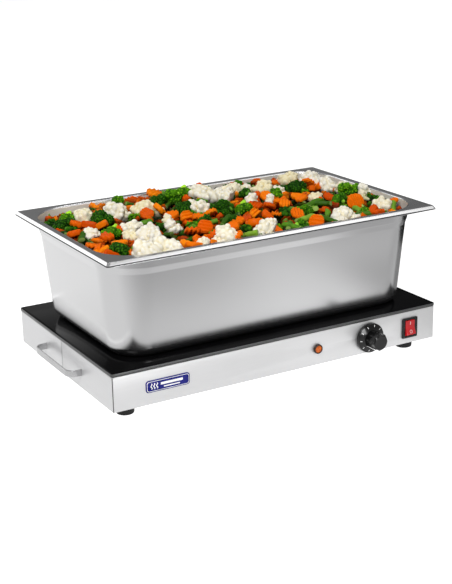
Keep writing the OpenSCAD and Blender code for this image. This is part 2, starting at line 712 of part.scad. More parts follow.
// One skin: up the outside from the floor, over the lip, and down the inside
module food_pan() color([0.78, 0.79, 0.8]) translate([0, 0, z_top]) {
    outer = [for (i = [0:len(face) - 1]) outside(face[i], i)];
    rows = concat(outer, [for (i = [len(face) - 1:-1:0]) face[i]]);
    m = 4 * (arc_n + 1);
    n = len(rows);
    walls = [for (i = [0:n - 2], k = [0:m - 1])
        let (a = i * m + k, b = i * m + (k + 1) % m) each [[a, b + m, b], [a, a + m, b + m]]];
    polyhedron([for (row = rows) each ring(row)],
        concat(walls, [[for (k = [0:m - 1]) k], [for (k = [m - 1:-1:0]) (n - 1) * m + k]]));
}

// ---------- assembly ----------

module placed() translate([0, body_y, 0]) children();

placed() glass_plate();
placed() glass_seal();
placed() front_shell();
placed() rear_shell();
placed() seam_strap(-1);  // seam_strap_left
placed() seam_strap(1);  // seam_strap_right
placed() bottom_plate();
placed() bottom_screws();
placed() foot(foot_x[0], -1);  // foot_front_left
placed() foot(foot_x[1], -1);  // foot_front_right
placed() foot(foot_x[0], 1);  // foot_rear_left
placed() foot(foot_x[1], 1);  // foot_rear_right
placed() foot_screws();
placed() foot_washers();
placed() foot_nuts();
placed() handle(-1);  // handle_left
placed() handle(1);  // handle_right
placed() heat_spreader();
placed() heating_element();
placed() element_bushes();
placed() element_pins();
placed() element_clamps();
placed() clamp_studs();
placed() insulation_pad();
placed() heat_shield();
placed() support_rail(-1);  // support_rail_left
placed() support_rail(1);  // support_rail_right
placed() thermal_cutout();
placed() thermostat_body();
placed() thermostat_terminals();
placed() thermostat_screws();
placed() thermostat_capillary();
placed() thermostat_shaft();
placed() control_knob();
placed() dial_marks();
placed() switch_housing();
placed() switch_rocker();
placed() rocker_legend();
placed() rocker_plunger();
placed() contact_seesaw();
placed() switch_terminals();
placed() pilot_lens();
placed() pilot_body();
placed() pilot_nut();
placed() pilot_neon();
placed() name_label();
placed() gland_body();
placed() gland_dome_nut();
placed() gland_lock_nut();
placed() gland_seal();
placed() terminal_block();
placed() terminal_screws();
placed() earth_stud();
placed() leads_live();
placed() leads_neutral();
placed() lead_earth();
placed() food_pan();
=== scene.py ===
"""Looks of the electric steam table unit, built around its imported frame. Local sizes are in millimetres."""

import itertools
import json
import math

import bmesh
import bpy
import numpy as np
from mathutils import Matrix, Vector, noise


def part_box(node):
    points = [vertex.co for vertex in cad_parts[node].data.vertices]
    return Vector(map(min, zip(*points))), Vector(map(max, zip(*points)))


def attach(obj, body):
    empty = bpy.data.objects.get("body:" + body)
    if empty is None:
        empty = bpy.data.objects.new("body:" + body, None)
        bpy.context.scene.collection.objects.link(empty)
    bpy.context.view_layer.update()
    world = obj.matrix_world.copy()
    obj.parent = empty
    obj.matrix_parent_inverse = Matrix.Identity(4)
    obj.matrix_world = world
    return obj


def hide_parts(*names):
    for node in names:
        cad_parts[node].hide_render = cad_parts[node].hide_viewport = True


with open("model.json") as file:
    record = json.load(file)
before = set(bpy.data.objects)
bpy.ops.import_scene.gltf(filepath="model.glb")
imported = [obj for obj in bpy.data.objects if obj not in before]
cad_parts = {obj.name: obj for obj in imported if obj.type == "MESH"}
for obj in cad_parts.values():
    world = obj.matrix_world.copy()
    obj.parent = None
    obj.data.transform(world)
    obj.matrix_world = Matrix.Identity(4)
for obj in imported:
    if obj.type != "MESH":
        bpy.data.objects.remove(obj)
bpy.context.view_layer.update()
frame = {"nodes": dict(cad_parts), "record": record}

MM = 0.001

# Places that everything else is worked out from
glass_low, glass_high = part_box("glass_plate")
pan_low, pan_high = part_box("food_pan")
case_low, case_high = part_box("front_shell")
MIDDLE_X = (glass_low.x + glass_high.x) / 2
MIDDLE_Y = (glass_low.y + glass_high.y) / 2
FRONT_Y = case_low.y


# ---------- camera, floor and light ----------

def make_camera():
    """A long lens that looks down on the unit from the front left, slightly tilted in its own plane."""
    azimuth, elevation, roll = math.radians(-29.695), math.radians(18.144), math.radians(-1.194)
    distance = 1.8653
    back = Vector((math.sin(azimuth) * math.cos(elevation), -math.cos(azimuth) * math.cos(elevation),
                   math.sin(elevation)))
    right = Vector((math.cos(azimuth), math.sin(azimuth), 0))
    up = back.cross(right)
    right, up = (right * math.cos(roll) + up * math.sin(roll),
                 up * math.cos(roll) - right * math.sin(roll))
    target = Vector((MIDDLE_X - 0.0003, MIDDLE_Y, glass_high.z + 0.02075))
    data = bpy.data.cameras.new("camera")
    data.lens = 76.69
    data.sensor_width = 36
    data.clip_end = 100
    camera = bpy.data.objects.new("camera", data)
    turn = Matrix((right, up, back)).transposed().to_4x4()
    camera.matrix_world = Matrix.Translation(target + back * distance) @ turn
    bpy.context.scene.collection.objects.link(camera)
    bpy.context.scene.camera = camera


def area_light(name, place, aim, size, power):
    data = bpy.data.lights.new(name, "AREA")
    data.shape = "RECTANGLE"
    data.size, data.size_y = size
    data.energy = power
    light = bpy.data.objects.new(name, data)
    light.location = place
    light.rotation_mode = "QUATERNION"
    light.rotation_quaternion = (Vector(aim) - Vector(place)).to_track_quat("-Z", "Y")
    bpy.context.scene.collection.objects.link(light)
    return light


def make_world():
    """A white surround. Steel mirrors a greyer one, dim at the back right, and its soft light is weak."""
    world = bpy.data.worlds.new("studio")
    world.use_nodes = True
    nodes, links = world.node_tree.nodes, world.node_tree.links
    path = nodes.new("ShaderNodeLightPath")

    def even(strength):
        made = nodes.new("ShaderNodeBackground")
        made.inputs["Color"].default_value = (1, 1, 1, 1)
        made.inputs["Strength"].default_value = strength
        return made

    def chosen(ray, other, light):
        """One light for a kind of ray, and another for the rest."""
        made = nodes.new("ShaderNodeMixShader")
        links.new(path.outputs[ray], made.inputs["Fac"])
        links.new(other.outputs[0], made.inputs[1])
        links.new(light.outputs[0], made.inputs[2])
        return made

    place = nodes.new("ShaderNodeTexCoord")
    dot = nodes.new("ShaderNodeVectorMath")
    dot.operation = "DOT_PRODUCT"
    heading, height = math.radians(32), math.radians(12)
    dot.inputs[1].default_value = (math.sin(heading) * math.cos(height),
                                   math.cos(heading) * math.cos(height), math.sin(height))
    ramp = nodes.new("ShaderNodeValToRGB")
    for point, (at, level) in zip(ramp.color_ramp.elements, [(0.60, 0.62), (0.88, 0.30)]):
        point.position = at
        point.color = (level, level, level, 1)
    mirrored = nodes["Background"]
    mirrored.inputs["Strength"].default_value = 0.7
    links.new(place.outputs["Generated"], dot.inputs[0])
    links.new(dot.outputs["Value"], ramp.inputs["Fac"])
    links.new(ramp.outputs["Color"], mirrored.inputs["Color"])
    seen = chosen("Is Camera Ray", chosen("Is Diffuse Ray", mirrored, even(0.2)), even(1.0))
    links.new(seen.outputs[0], nodes["World Output"].inputs["Surface"])
    bpy.context.scene.world = world


def stage_piece(name, corners, look):
    mesh = bpy.data.meshes.new(name)
    mesh.from_pydata(corners, [], [(0, 1, 2, 3)])
    mesh.materials.append(look.material)
    piece = bpy.data.objects.new(name, mesh)
    bpy.context.scene.collection.objects.link(piece)
    return piece


def square(reach, height):
    """The corners of a level square round the middle of the scene."""
    return [(x * reach, y * reach, height) for x, y in ((-1, -1), (1, -1), (1, 1), (-1, 1))]


def make_floor():
    """A pale floor that glows a little, more on the left, so that it stays white."""
    look = Look("floor_paint", 0.1)
    look.set(**{"Base Color": (0.35, 0.35, 0.35, 1), "Roughness": 0.9, "Emission Color": (1, 1, 1, 1)})
    glow = look.node("ShaderNodeMapRange")
    glow.interpolation_type = "SMOOTHSTEP"
    for name, value in [("From Min", -0.7), ("From Max", 0.7), ("To Min", 1.15), ("To Max", 0.9)]:
        glow.inputs[name].default_value = value
    look.link(look.axis(look.place, "X"), glow.inputs["Value"])
    look.link(glow.outputs["Result"], look.shader.inputs["Emission Strength"])
    stage_piece("floor", square(40, 0), look)


def plain_card(name, corners, look):
    """A flat stage piece that only mirrored light sees."""
    card = stage_piece(name, corners, look)
    card.visible_camera = card.visible_diffuse = card.visible_shadow = card.visible_transmission = False


def mirrored_floor():
    """The floor as the steel mirrors it: bright and dim zones that follow the pan's sides."""
    look = Look("mirrored_floor")

    def spread(axis):
        """0 to 1 along an axis, from 1 m before the middle to 1 m past it."""
        span = look.node("ShaderNodeMapRange")
        span.inputs["From Min"].default_value = -1.0
        look.link(look.axis(look.place, axis), span.inputs["Value"])
        return span.outputs["Result"]

    across, along = spread("X"), spread("Y")
    far = look.ramp(across, (0.28, 0.85), (0.47, 0.68), (0.53, 0.78), (0.585, 1.10), (0.62, 1.0),
                    (0.645, 0.90), (0.74, 0.8))
    near = look.ramp(across, (0.30, 0.83), (0.38, 0.75), (0.44, 0.76), (0.50, 0.84), (0.56, 0.99),
                     (0.60, 0.98), (0.62, 0.92), (0.65, 0.58), (0.66, 0.52))
    left_front = look.ramp(across, (0.28, 0.82), (0.37, 0.84), (0.40, 0.90))
    left_back = look.ramp(across, (0.28, 0.92), (0.40, 0.90))
    side = look.mix(look.ramp(along, (0.56, 0.0), (0.66, 1.0)), left_front, left_back)
    right_dark = look.times(look.ramp(across, (0.62, 0.0), (0.645, 0.75), (0.80, 0.75), (0.84, 0.0)),
                            look.ramp(along, (0.41, 0.0), (0.43, 1.0), (0.58, 1.0), (0.64, 0.0)))
    side = look.mix(right_dark, side, (0, 0, 0))
    level = look.mix(look.ramp(along, (0.31, 0.0), (0.345, 1.0)), far, near)
    level = look.mix(look.ramp(along, (0.405, 0.0), (0.43, 1.0)), level, side)
    ahead = look.ramp(along, (0.1, 0.40), (0.27, 0.62), (0.34, 0.86), (0.40, 1.04))
    glow = look.node("ShaderNodeEmission")
    glow.inputs["Strength"].default_value = 1.22
    look.link(look.times(ahead, level), glow.inputs["Color"])
    look.link(glow.outputs[0], look.tree.nodes["Material Output"].inputs["Surface"])
    plain_card("mirrored_floor", square(6, 0.0005), look)


def make_cards():
    """What the steel mirrors: a floor, three bright cards, and a dark flag that dims the right end."""
    mirrored_floor()
    for name, way, size, level in (("card_front_right", (0.471, -0.576, 0.664), 1.1, 1.9),
                                   ("card_back_left", (-0.452, 0.826, 0.331), 1.0, 2.0),
                                   ("card_front", (0.075, -0.982, 0.150), 0.52, 12.0)):
        middle = Vector(way) * 1.9
        side = Vector((0, 0, 1)).cross(middle).normalized() * size / 2
        up = middle.cross(side).normalized() * size / 2
        bright = Look(name)
        bright.set(**{"Base Color": (0, 0, 0, 1), "Emission Color": (1, 1, 1, 1), "Emission Strength": level})
        corners = [middle + side * x + up * y for x, y in ((-1, -1), (1, -1), (1, 1), (-1, 1))]
        plain_card(name, corners, bright)
    dark = Look("dark_flag_right", 0.0)
    dark.set(**{"Base Color": (0, 0, 0, 1), "Roughness": 1.0})
    corners = [(0.62, y, z) for y, z in ((-0.17, 0.001), (0.6, 0.001), (0.6, 0.34), (-0.17, 0.34))]
    plain_card("dark_flag_right", corners, dark)


def ledge_lights():
    """Strips just above the glass beside the pan's left end: they brighten its heel, and face up only."""
    steps = ((-2, 14, 0.70), (14, 17, 0.46), (17, 20, 0.23))
    deep = glass_high.y - glass_low.y
    for near, far, level in steps:
        wide = (far - near) * MM
        middle = Vector((pan_low.x + near * MM + wide / 2, MIDDLE_Y, pan_low.z + 1.5 * MM))
        power = 4 * wide * deep * level
        strip = area_light("ledge", middle, middle + Vector((0, 0, 1)), (wide, deep), power)
        strip.visible_camera = strip.visible_diffuse = strip.visible_transmission = False


def make_studio():
    scene = bpy.context.scene
    scene.view_settings.view_transform = "Standard"
    scene.view_settings.look = "None"
    make_camera()
    make_world()
    make_floor()
    make_cards()
    area_light("key", (-1.1, -1.2, 1.7), (0, 0, 0.15), (0.8, 0.8), 39)
    area_light("top", (0.2, 0.5, 1.9), (0, 0, 0.15), (0.8, 0.5), 7)
    ledge_lights()


# ---------- materials ----------

class Look:
    """One material's node tree, and short ways to add what the materials share."""

    def __init__(self, name, gloss=0.5):
        self.material = bpy.data.materials.new(name)
        self.material.use_nodes = True
        self.tree = self.material.node_tree
        self.shader = self.tree.nodes["Principled BSDF"]
        self.place = self.node("ShaderNodeTexCoord").outputs["Object"]
        self.shader.inputs["Specular IOR Level"].default_value = gloss

    def node(self, kind):
        return self.tree.nodes.new(kind)

    def link(self, source, target):
        self.tree.links.new(source, target)

    def set(self, **sockets):
        for name, value in sockets.items():
            self.shader.inputs[name].default_value = value

    def noise(self, scale, detail=3.0, roughness=0.5, distortion=0.0):
        """Noise with a scale per metre, the same along every axis or one for each."""
        scales = (scale,) * 3 if isinstance(scale, (int, float)) else scale
        spread = self.node("ShaderNodeMapping")
        spread.inputs["Scale"].default_value = scales
        self.link(self.place, spread.inputs["Vector"])
        made = self.node("ShaderNodeTexNoise")
        made.inputs["Scale"].default_value = 1.0
        made.inputs["Detail"].default_value = detail
        made.inputs["Roughness"].default_value = roughness
        made.inputs["Distortion"].default_value = distortion
        self.link(spread.outputs["Vector"], made.inputs["Vector"])
        return made.outputs["Fac"]

    def attribute(self, name):
        made = self.node("ShaderNodeAttribute")
        made.attribute_name = name
        return made.outputs["Fac"]

    def ramp(self, source, *stops):
        """Colours or grey levels along a value, as (place, colour) pairs."""
        made = self.node("ShaderNodeValToRGB")
        points = made.color_ramp.elements
        while len(points) < len(stops):
            points.new(0.5)
        for point, (at, colour) in zip(points, stops):
            point.position = at
            level = (colour,) * 3 if isinstance(colour, (int, float)) else colour
            point.color = (*level, 1)
        self.link(source, made.inputs["Fac"])
        return made.outputs["Color"]

    def mix(self, share, first, second, kind="MIX"):
        made = self.node("ShaderNodeMix")
        made.data_type = "RGBA"
        made.blend_type = kind
        for value, at in [(share, 0), (first, 6), (second, 7)]:
            if isinstance(value, bpy.types.NodeSocket):
                self.link(value, made.inputs[at])
            elif at == 0:
                made.inputs[at].default_value = value
            else:
                made.inputs[at].default_value = (*value, 1)
        return made.outputs[2]

    def times(self, first, second):
        return self.mix(1.0, first, second, "MULTIPLY")

    def axis(self, vector, name):
        split = self.node("ShaderNodeSeparateXYZ")
        self.link(vector, split.inputs[0])
        return split.outputs[name]

    def colour(self, source, *stops):
        self.link(self.ramp(source, *stops), self.shader.inputs["Base Color"])

    def rough(self, source, low, high, start=0.3, end=0.7):
        self.link(self.ramp(source, (start, low), (end, high)), self.shader.inputs["Roughness"])

    def shaded(self, colour):
        """Painted shade: a base colour darkened where the piece lies deep between its neighbours."""
        depth = self.ramp(self.attribute("depth"), (0.2, 0.015), (0.55, 0.25), (0.85, 1.0))
        self.link(self.times(colour, depth), self.shader.inputs["Base Color"])

    def bump(self, source, depth):
        """Relief of a depth in millimetres."""
        made = self.node("ShaderNodeBump")
        made.inputs["Distance"].default_value = depth * MM
        self.link(source, made.inputs["Height"])
        self.link(made.outputs["Normal"], self.shader.inputs["Normal"])


def brushed(name, low, high, roughness, grain, metallic):
    """Satin sheet steel: fine grain along the wall, and broad faint clouds in its tone and gloss."""
    look = Look(name)
    look.set(Metallic=metallic)
    along = look.noise((30, 2600, 2600), 4)
    across = look.noise((2600, 30, 2600), 4)
    side = look.node("ShaderNodeMath")
    side.operation = "ABSOLUTE"
    look.link(look.axis(look.node("ShaderNodeNewGeometry").outputs["Normal"], "X"), side.inputs[0])
    turned = look.ramp(side.outputs[0], (0.6, 0.0), (0.8, 1.0))
    lines = look.mix(turned, along, across)
    tone = look.mix(0.5, lines, look.noise(9, 3))
    look.colour(tone, (0.3, low), (0.7, high))
    look.rough(tone, roughness - 0.02, roughness + 0.02)
    look.bump(lines, grain)
    return look.material


def moulded(name, colour, roughness, grain=0.02, gloss=0.5, scale=1400):
    """Moulded plastic or rubber: a fine grain, and a slight change of tone over the surface."""
    look = Look(name, gloss)
    clouds = look.noise(60, 4)
    look.colour(clouds, (0.35, [c * 0.82 for c in colour]), (0.65, [min(1, c * 1.15) for c in colour]))
    look.rough(clouds, roughness - 0.06, roughness + 0.06)
    look.bump(look.noise(scale, 3), grain)
    return look.material


def metal(name, colour, roughness):
    """Plain metal: a cloudy tone and a slightly uneven polish."""
    look = Look(name)
    look.set(Metallic=1.0)
    clouds = look.noise(220, 4)
    look.colour(clouds, (0.3, [c * 0.85 for c in colour]), (0.7, colour))
    look.rough(clouds, roughness - 0.06, roughness + 0.08)
    look.bump(look.noise(900, 2), 0.01)
    return look.material


def glass_look(name):
    """Black glass with faint smears in its gloss."""
    look = Look(name, 0.03)
    look.set(IOR=1.5)
    smears = look.noise((14, 5, 14), 4, 0.6, 0.8)
    look.colour(smears, (0.35, (0.0016, 0.0016, 0.0018)), (0.75, (0.004, 0.004, 0.0045)))
    look.rough(smears, 0.05, 0.12, 0.35, 0.75)
    return look.material


def wool_look(name):
    look = Look(name)
    look.set(Roughness=0.95)
    fibres = look.noise((300, 900, 900), 6, 0.7, 1.5)
    look.colour(fibres, (0.3, (0.55, 0.5, 0.36)), (0.7, (0.85, 0.81, 0.66)))
    look.bump(fibres, 0.8)
    return look.material


def amber_look(name):
    look = Look(name, 0.3)
    depth = look.noise(260, 3)
    look.colour(depth, (0.3, (0.46, 0.075, 0.004)), (0.7, (0.62, 0.13, 0.008)))
    look.rough(depth, 0.18, 0.3)
    return look.material


def cauliflower_look(name):
    """Creamy white, darker and warmer in its creases as painted shade, greenish on the stems."""
    look = Look(name, 0.2)
    grain = look.noise(700, 4, 0.6)
    # Painted shade: darker and warmer towards the creases
    crease = look.ramp(look.attribute("crease"), (0.15, (0.36, 0.26, 0.09)), (0.38, (0.74, 0.66, 0.44)),
                       (0.58, (0.86, 0.83, 0.74)))
    stem = look.ramp(grain, (0.3, (0.60, 0.62, 0.36)), (0.7, (0.80, 0.80, 0.60)))
    tint = look.ramp(look.attribute("tone"), (0.0, (0.98, 0.92, 0.70)), (0.4, (1, 0.99, 0.95)),
                     (1.0, (1, 1, 1)))
    look.shaded(look.times(look.mix(look.attribute("stem"), crease, stem), tint))
    look.rough(grain, 0.38, 0.6)
    look.bump(grain, 0.5)
    return look.material


def broccoli_look(name):
    """Dark buds, near black in their creases as painted shade and lighter on their tips as painted highlight,
    on pale stems, from blue-green to fresh yellow-green.
    """
    look = Look(name, 0.03)
    buds = look.noise(900, 3, 0.6)
    # Painted shade in the creases between the buds, and painted highlight on their tips
    crown = look.ramp(look.attribute("crease"), (0.2, (0.0004, 0.004, 0.0004)), (0.46, (0.004, 0.034, 0.001)),
                      (0.78, (0.08, 0.25, 0.008)))
    stem = look.ramp(buds, (0.3, (0.12, 0.36, 0.02)), (0.7, (0.30, 0.58, 0.07)))
    fresh = look.ramp(look.attribute("tone"), (0.0, (0.42, 0.56, 0.65)), (0.6, (1.1, 1.2, 1.0)),
                      (1.0, (2.5, 2.1, 1.1)))
    look.shaded(look.times(look.mix(look.attribute("stem"), crown, stem), fresh))
    look.rough(buds, 0.32, 0.55)
    look.bump(buds, 0.6)
    return look.material


def carrot_look(name):
    """Orange flesh with fine fibres, darker in the grooves as painted shade."""
    look = Look(name, 0.05)
    fibres = look.noise(420, 4, 0.6)
    flesh = look.ramp(look.attribute("tone"), (0.0, (0.60, 0.070, 0.0006)), (0.5, (0.78, 0.125, 0.0008)),
                      (1.0, (0.95, 0.27, 0.004)))
    worn = look.ramp(fibres, (0.3, (0.88, 0.78, 0.7)), (0.7, (1, 1, 1)))
    # Painted shade in the grooves
    crease = look.ramp(look.attribute("crease"), (0.2, (0.72, 0.5, 0.4)), (0.5, (1, 1, 1)))
    look.shaded(look.times(look.times(flesh, worn), crease))
    look.rough(fibres, 0.28, 0.48)
    look.bump(fibres, 0.25)
    return look.material


def bean_look(name):
    """Mottled green skin, and pale cut ends."""
    look = Look(name, 0.08)
    skin = look.noise(260, 4, 0.6)
    green = look.ramp(look.attribute("tone"), (0.0, (0.015, 0.07, 0.003)), (0.6, (0.10, 0.27, 0.015)),
                      (1.0, (0.30, 0.52, 0.05)))
    mottled = look.times(green, look.ramp(skin, (0.3, 0.7), (0.7, 1.0)))
    look.shaded(look.mix(look.attribute("stem"), mottled, (0.34, 0.50, 0.12)))
    look.rough(skin, 0.26, 0.45)
    look.bump(skin, 0.2)
    return look.material


def bed_look(name):
    look = Look(name)
    look.set(Roughness=0.6)
    # Near black greens and browns: painted shade deep in the heap
    look.colour(look.noise(55, 5, 0.6, 0.5), (0.35, (0.003, 0.008, 0.002)), (0.5, (0.05, 0.012, 0.002)),
                (0.65, (0.010, 0.02, 0.003)))
    look.bump(look.noise(240, 4), 2)
    return look.material


# Values of the materials, by the record's slot name, or by a name of this script's own
STEELS = {
    "casing_steel": ((0.60, 0.60, 0.605), (0.65, 0.65, 0.655), 0.42, 0.004, 0.7),
    "pan_steel": ((0.56, 0.56, 0.565), (0.58, 0.58, 0.585), 0.22, 0.0003, 1.0),
    # A creamy, less metallic steel on the inner walls, as painted light reflected off the food
    "pan_inside_warm_reflection": ((0.90, 0.83, 0.73), (0.95, 0.90, 0.81), 0.36, 0.0003, 0.3),
    # The handles' steel, darker than the casing's as painted shade
    "bail_steel_shaded": ((0.42, 0.42, 0.425), (0.48, 0.48, 0.485), 0.26, 0.004, 0.95),
}
METALS = {
    # Dark steel in the groove under the pan's lip, as painted shadow
    "pan_groove_shadow": ((0.05, 0.05, 0.05), 0.5),
    "seam_shadow": ((0.06, 0.06, 0.06), 0.6),
    "zinc": ((0.6, 0.6, 0.62), 0.3),
    "aluminium": ((0.78, 0.78, 0.8), 0.35),
    "element_sheath": ((0.2, 0.19, 0.19), 0.5),
    "brass": ((0.72, 0.5, 0.2), 0.28),
    "copper": ((0.72, 0.34, 0.2), 0.3),
}
MOULDINGS = {
    "glass_edge": ((0.035, 0.036, 0.037), 0.38, 0.01, 0.8),
    "seal_silicone": ((0.03, 0.03, 0.03), 0.6),
    "foot_rubber": ((0.012, 0.012, 0.0125), 0.7, 0.05, 0.25),
    "knob_plastic": ((0.003, 0.003, 0.0032), 0.13, 0.003, 0.36, 500),
    "black_plastic": ((0.018, 0.018, 0.019), 0.42),
    "red_rocker": ((0.50, 0.010, 0.014), 0.2, 0.006),
    "switch_black": ((0.005, 0.005, 0.0054), 0.22, 0.008, 0.35),
    "lens_rim": ((0.022, 0.008, 0.003), 0.38, 0.008, 0.3),
    "legend": ((0.72, 0.42, 0.42), 0.4, 0.01),
    "white_print": ((0.85, 0.85, 0.85), 0.5, 0.01),
    "label_blue": ((0.004, 0.006, 0.17), 0.3, 0.005, 0.25),
    "ceramic": ((0.8, 0.79, 0.74), 0.3, 0.03),
    "bakelite": ((0.06, 0.035, 0.025), 0.4),
    "neon": ((0.85, 0.6, 0.4), 0.1),
    "lead_brown": ((0.14, 0.06, 0.025), 0.4),
    "lead_blue": ((0.03, 0.1, 0.45), 0.4),
    "lead_green": ((0.15, 0.4, 0.04), 0.4),
}
OTHER_LOOKS = {
    "black_glass": glass_look, "mineral_wool": wool_look, "amber_lens": amber_look, "under_food": bed_look,
    "cauliflower": cauliflower_look, "broccoli": broccoli_look, "carrot": carrot_look, "bean": bean_look,
}


def make_looks():
    made = {name: make(name) for name, make in OTHER_LOOKS.items()}
    for make, rows in ((brushed, STEELS), (metal, METALS), (moulded, MOULDINGS)):
        made.update({name: make(name, *values) for name, values in rows.items()})
    return made


def dress_nodes():
    """Gives each CAD node that stays the look of its slot in the record."""
    for part in frame["record"]["subparts"]:
        node = frame["nodes"][part["node"]]
        node.data.materials.clear()
        node.data.materials.append(looks[part["material_slot"]])


# ---------- mesh helpers ----------

def new_piece(name, verts, faces, body, look, slot=None, replaces=(), place=None, sharp=35):
    """A piece from points in millimetres, put where place says."""
    mesh = bpy.data.meshes.new(name)
    mesh.from_pydata([tuple(v) for v in verts], [], [tuple(f) for f in faces])
    mesh.transform((place or Matrix.Identity(4)) @ Matrix.Scale(MM, 4))
    mesh.validate()
    mesh.update()
    return show(name, mesh, body, look, replaces, sharp)


def show(name, mesh, body, look, replaces=(), sharp=35):
    """Puts a mesh in the scene as a smooth-shaded piece that rides on a body."""
    mesh.shade_smooth()
    mesh.set_sharp_from_angle(angle=math.radians(sharp))
    mesh.materials.append(looks[look])
    piece = bpy.data.objects.new(name, mesh)
    bpy.context.scene.collection.objects.link(piece)
    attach(piece, body)
    if replaces:
        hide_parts(*replaces)
    return piece


def softened(node, name, width, slot, body="base", segments=3, look=None):
    """A CAD node's shape with its sharp edges rounded off over a width, standing for the node."""
    work = bmesh.new()
    work.from_mesh(frame["nodes"][node].data)
    bmesh.ops.remove_doubles(work, verts=work.verts, dist=0.00001)
    bmesh.ops.dissolve_limit(work, angle_limit=math.radians(0.5), verts=work.verts, edges=work.edges)
    edges = [e for e in work.edges if e.is_manifold and e.calc_face_angle() > math.radians(30)]
    bmesh.ops.bevel(work, geom=edges, offset=width * MM, segments=segments, profile=0.5,
                    affect="EDGES", clamp_overlap=True)
    bmesh.ops.triangulate(work, faces=[f for f in work.faces if len(f.verts) > 4])
    bmesh.ops.recalc_face_normals(work, faces=work.faces)
    work.verts.index_update()
    mesh = bpy.data.meshes.new(name)
    mesh.from_pydata([tuple(v.co) for v in work.verts], [], [[v.index for v in f.verts] for f in work.faces])
    work.free()
    mesh.validate()
    mesh.update()
    return show(name, mesh, body, look or slot, [node])


def rounded(points):
    """An outline through (x, y, radius) points, with an arc at each corner that has a radius."""
    made = []
    for i, (x, y, radius) in enumerate(points):
        here = Vector((x, y))
        if radius <= 0 or i in (0, len(points) - 1):
            made.append(here)
            continue
        before = (Vector(points[i - 1][:2]) - here).normalized()
        after = (Vector(points[i + 1][:2]) - here).normalized()
        half = before.angle(after) / 2
        reach = radius / math.tan(half)
        centre = here + (before + after).normalized() * radius / math.sin(half)
        start, end = here + before * reach - centre, here + after * reach - centre
        turn = start.angle_signed(end)
        steps = max(2, math.ceil(abs(turn) / math.radians(12)))
        for k in range(steps + 1):
            made.append(centre + Matrix.Rotation(-turn * k / steps, 2) @ start)
    return made


def ring(half_x, half_y, radius, z, steps=12):
    """Points of a rectangle with round corners, counter-clockwise."""
    made = []
    for quarter, (sx, sy) in enumerate([(1, 1), (-1, 1), (-1, -1), (1, -1)]):
        for k in range(steps + 1):
            angle = math.pi / 2 * (quarter + k / steps)
            made.append((sx * (half_x - radius) + radius * math.cos(angle),
                         sy * (half_y - radius) + radius * math.sin(angle), z))
    return made


def loft(rings, first=True, last=True):
    """Points and faces that join rings of equal count, with a face over the first and the last ring."""
    count = len(rings[0])
    points = [p for one in rings for p in one]
    faces = []
    for i in range(len(rings) - 1):
        for k in range(count):
            a, b = i * count + k, i * count + (k + 1) % count
            faces.append((a, b, b + count, a + count))
    if first:
        faces.append(tuple(range(count - 1, -1, -1)))
    if last:
        faces.append(tuple(range(len(points) - count, len(points))))
    return points, faces


def lathe(outline, radius_at=None, sides=96):
    """Turns an outline of (radius, height) points; radius_at(radius, height, angle) may shape it."""
    rings = []
    for radius, height in outline:
        one = []
        for k in range(sides):
            angle = 2 * math.pi * k / sides
            r = radius_at(radius, height, angle) if radius_at else radius
            one.append((r * math.cos(angle), r * math.sin(angle), height))
        rings.append(one)
    return loft(rings)


def joined(parts):
    """The points and faces of several parts as one mesh's."""
    points, faces = [], []
    for part_points, part_faces in parts:
        faces += [tuple(i + len(points) for i in f) for f in part_faces]
        points += part_points
    return points, faces


def front_panel(node):
    """The frame of a control on the front: x to the right, y up and z outward from the casing's wall."""
    low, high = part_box(node)
    axes = Matrix(((1, 0, 0, 0), (0, 0, -1, 0), (0, 1, 0, 0), (0, 0, 0, 1)))
    return Matrix.Translation(((low.x + high.x) / 2, FRONT_Y, (low.z + high.z) / 2)) @ axes


# ---------- pan ----------

PAN_L, PAN_W = (pan_high.x - pan_low.x) / MM, (pan_high.y - pan_low.y) / MM
PAN_H = (pan_high.z - pan_low.z) / MM
PAN_PLACE = Matrix.Translation(((pan_low.x + pan_high.x) / 2, (pan_low.y + pan_high.y) / 2, pan_low.z))
SHEET = 1.0
RIM = 13.5
RIM_R, OPENING_R = 3.4, 60


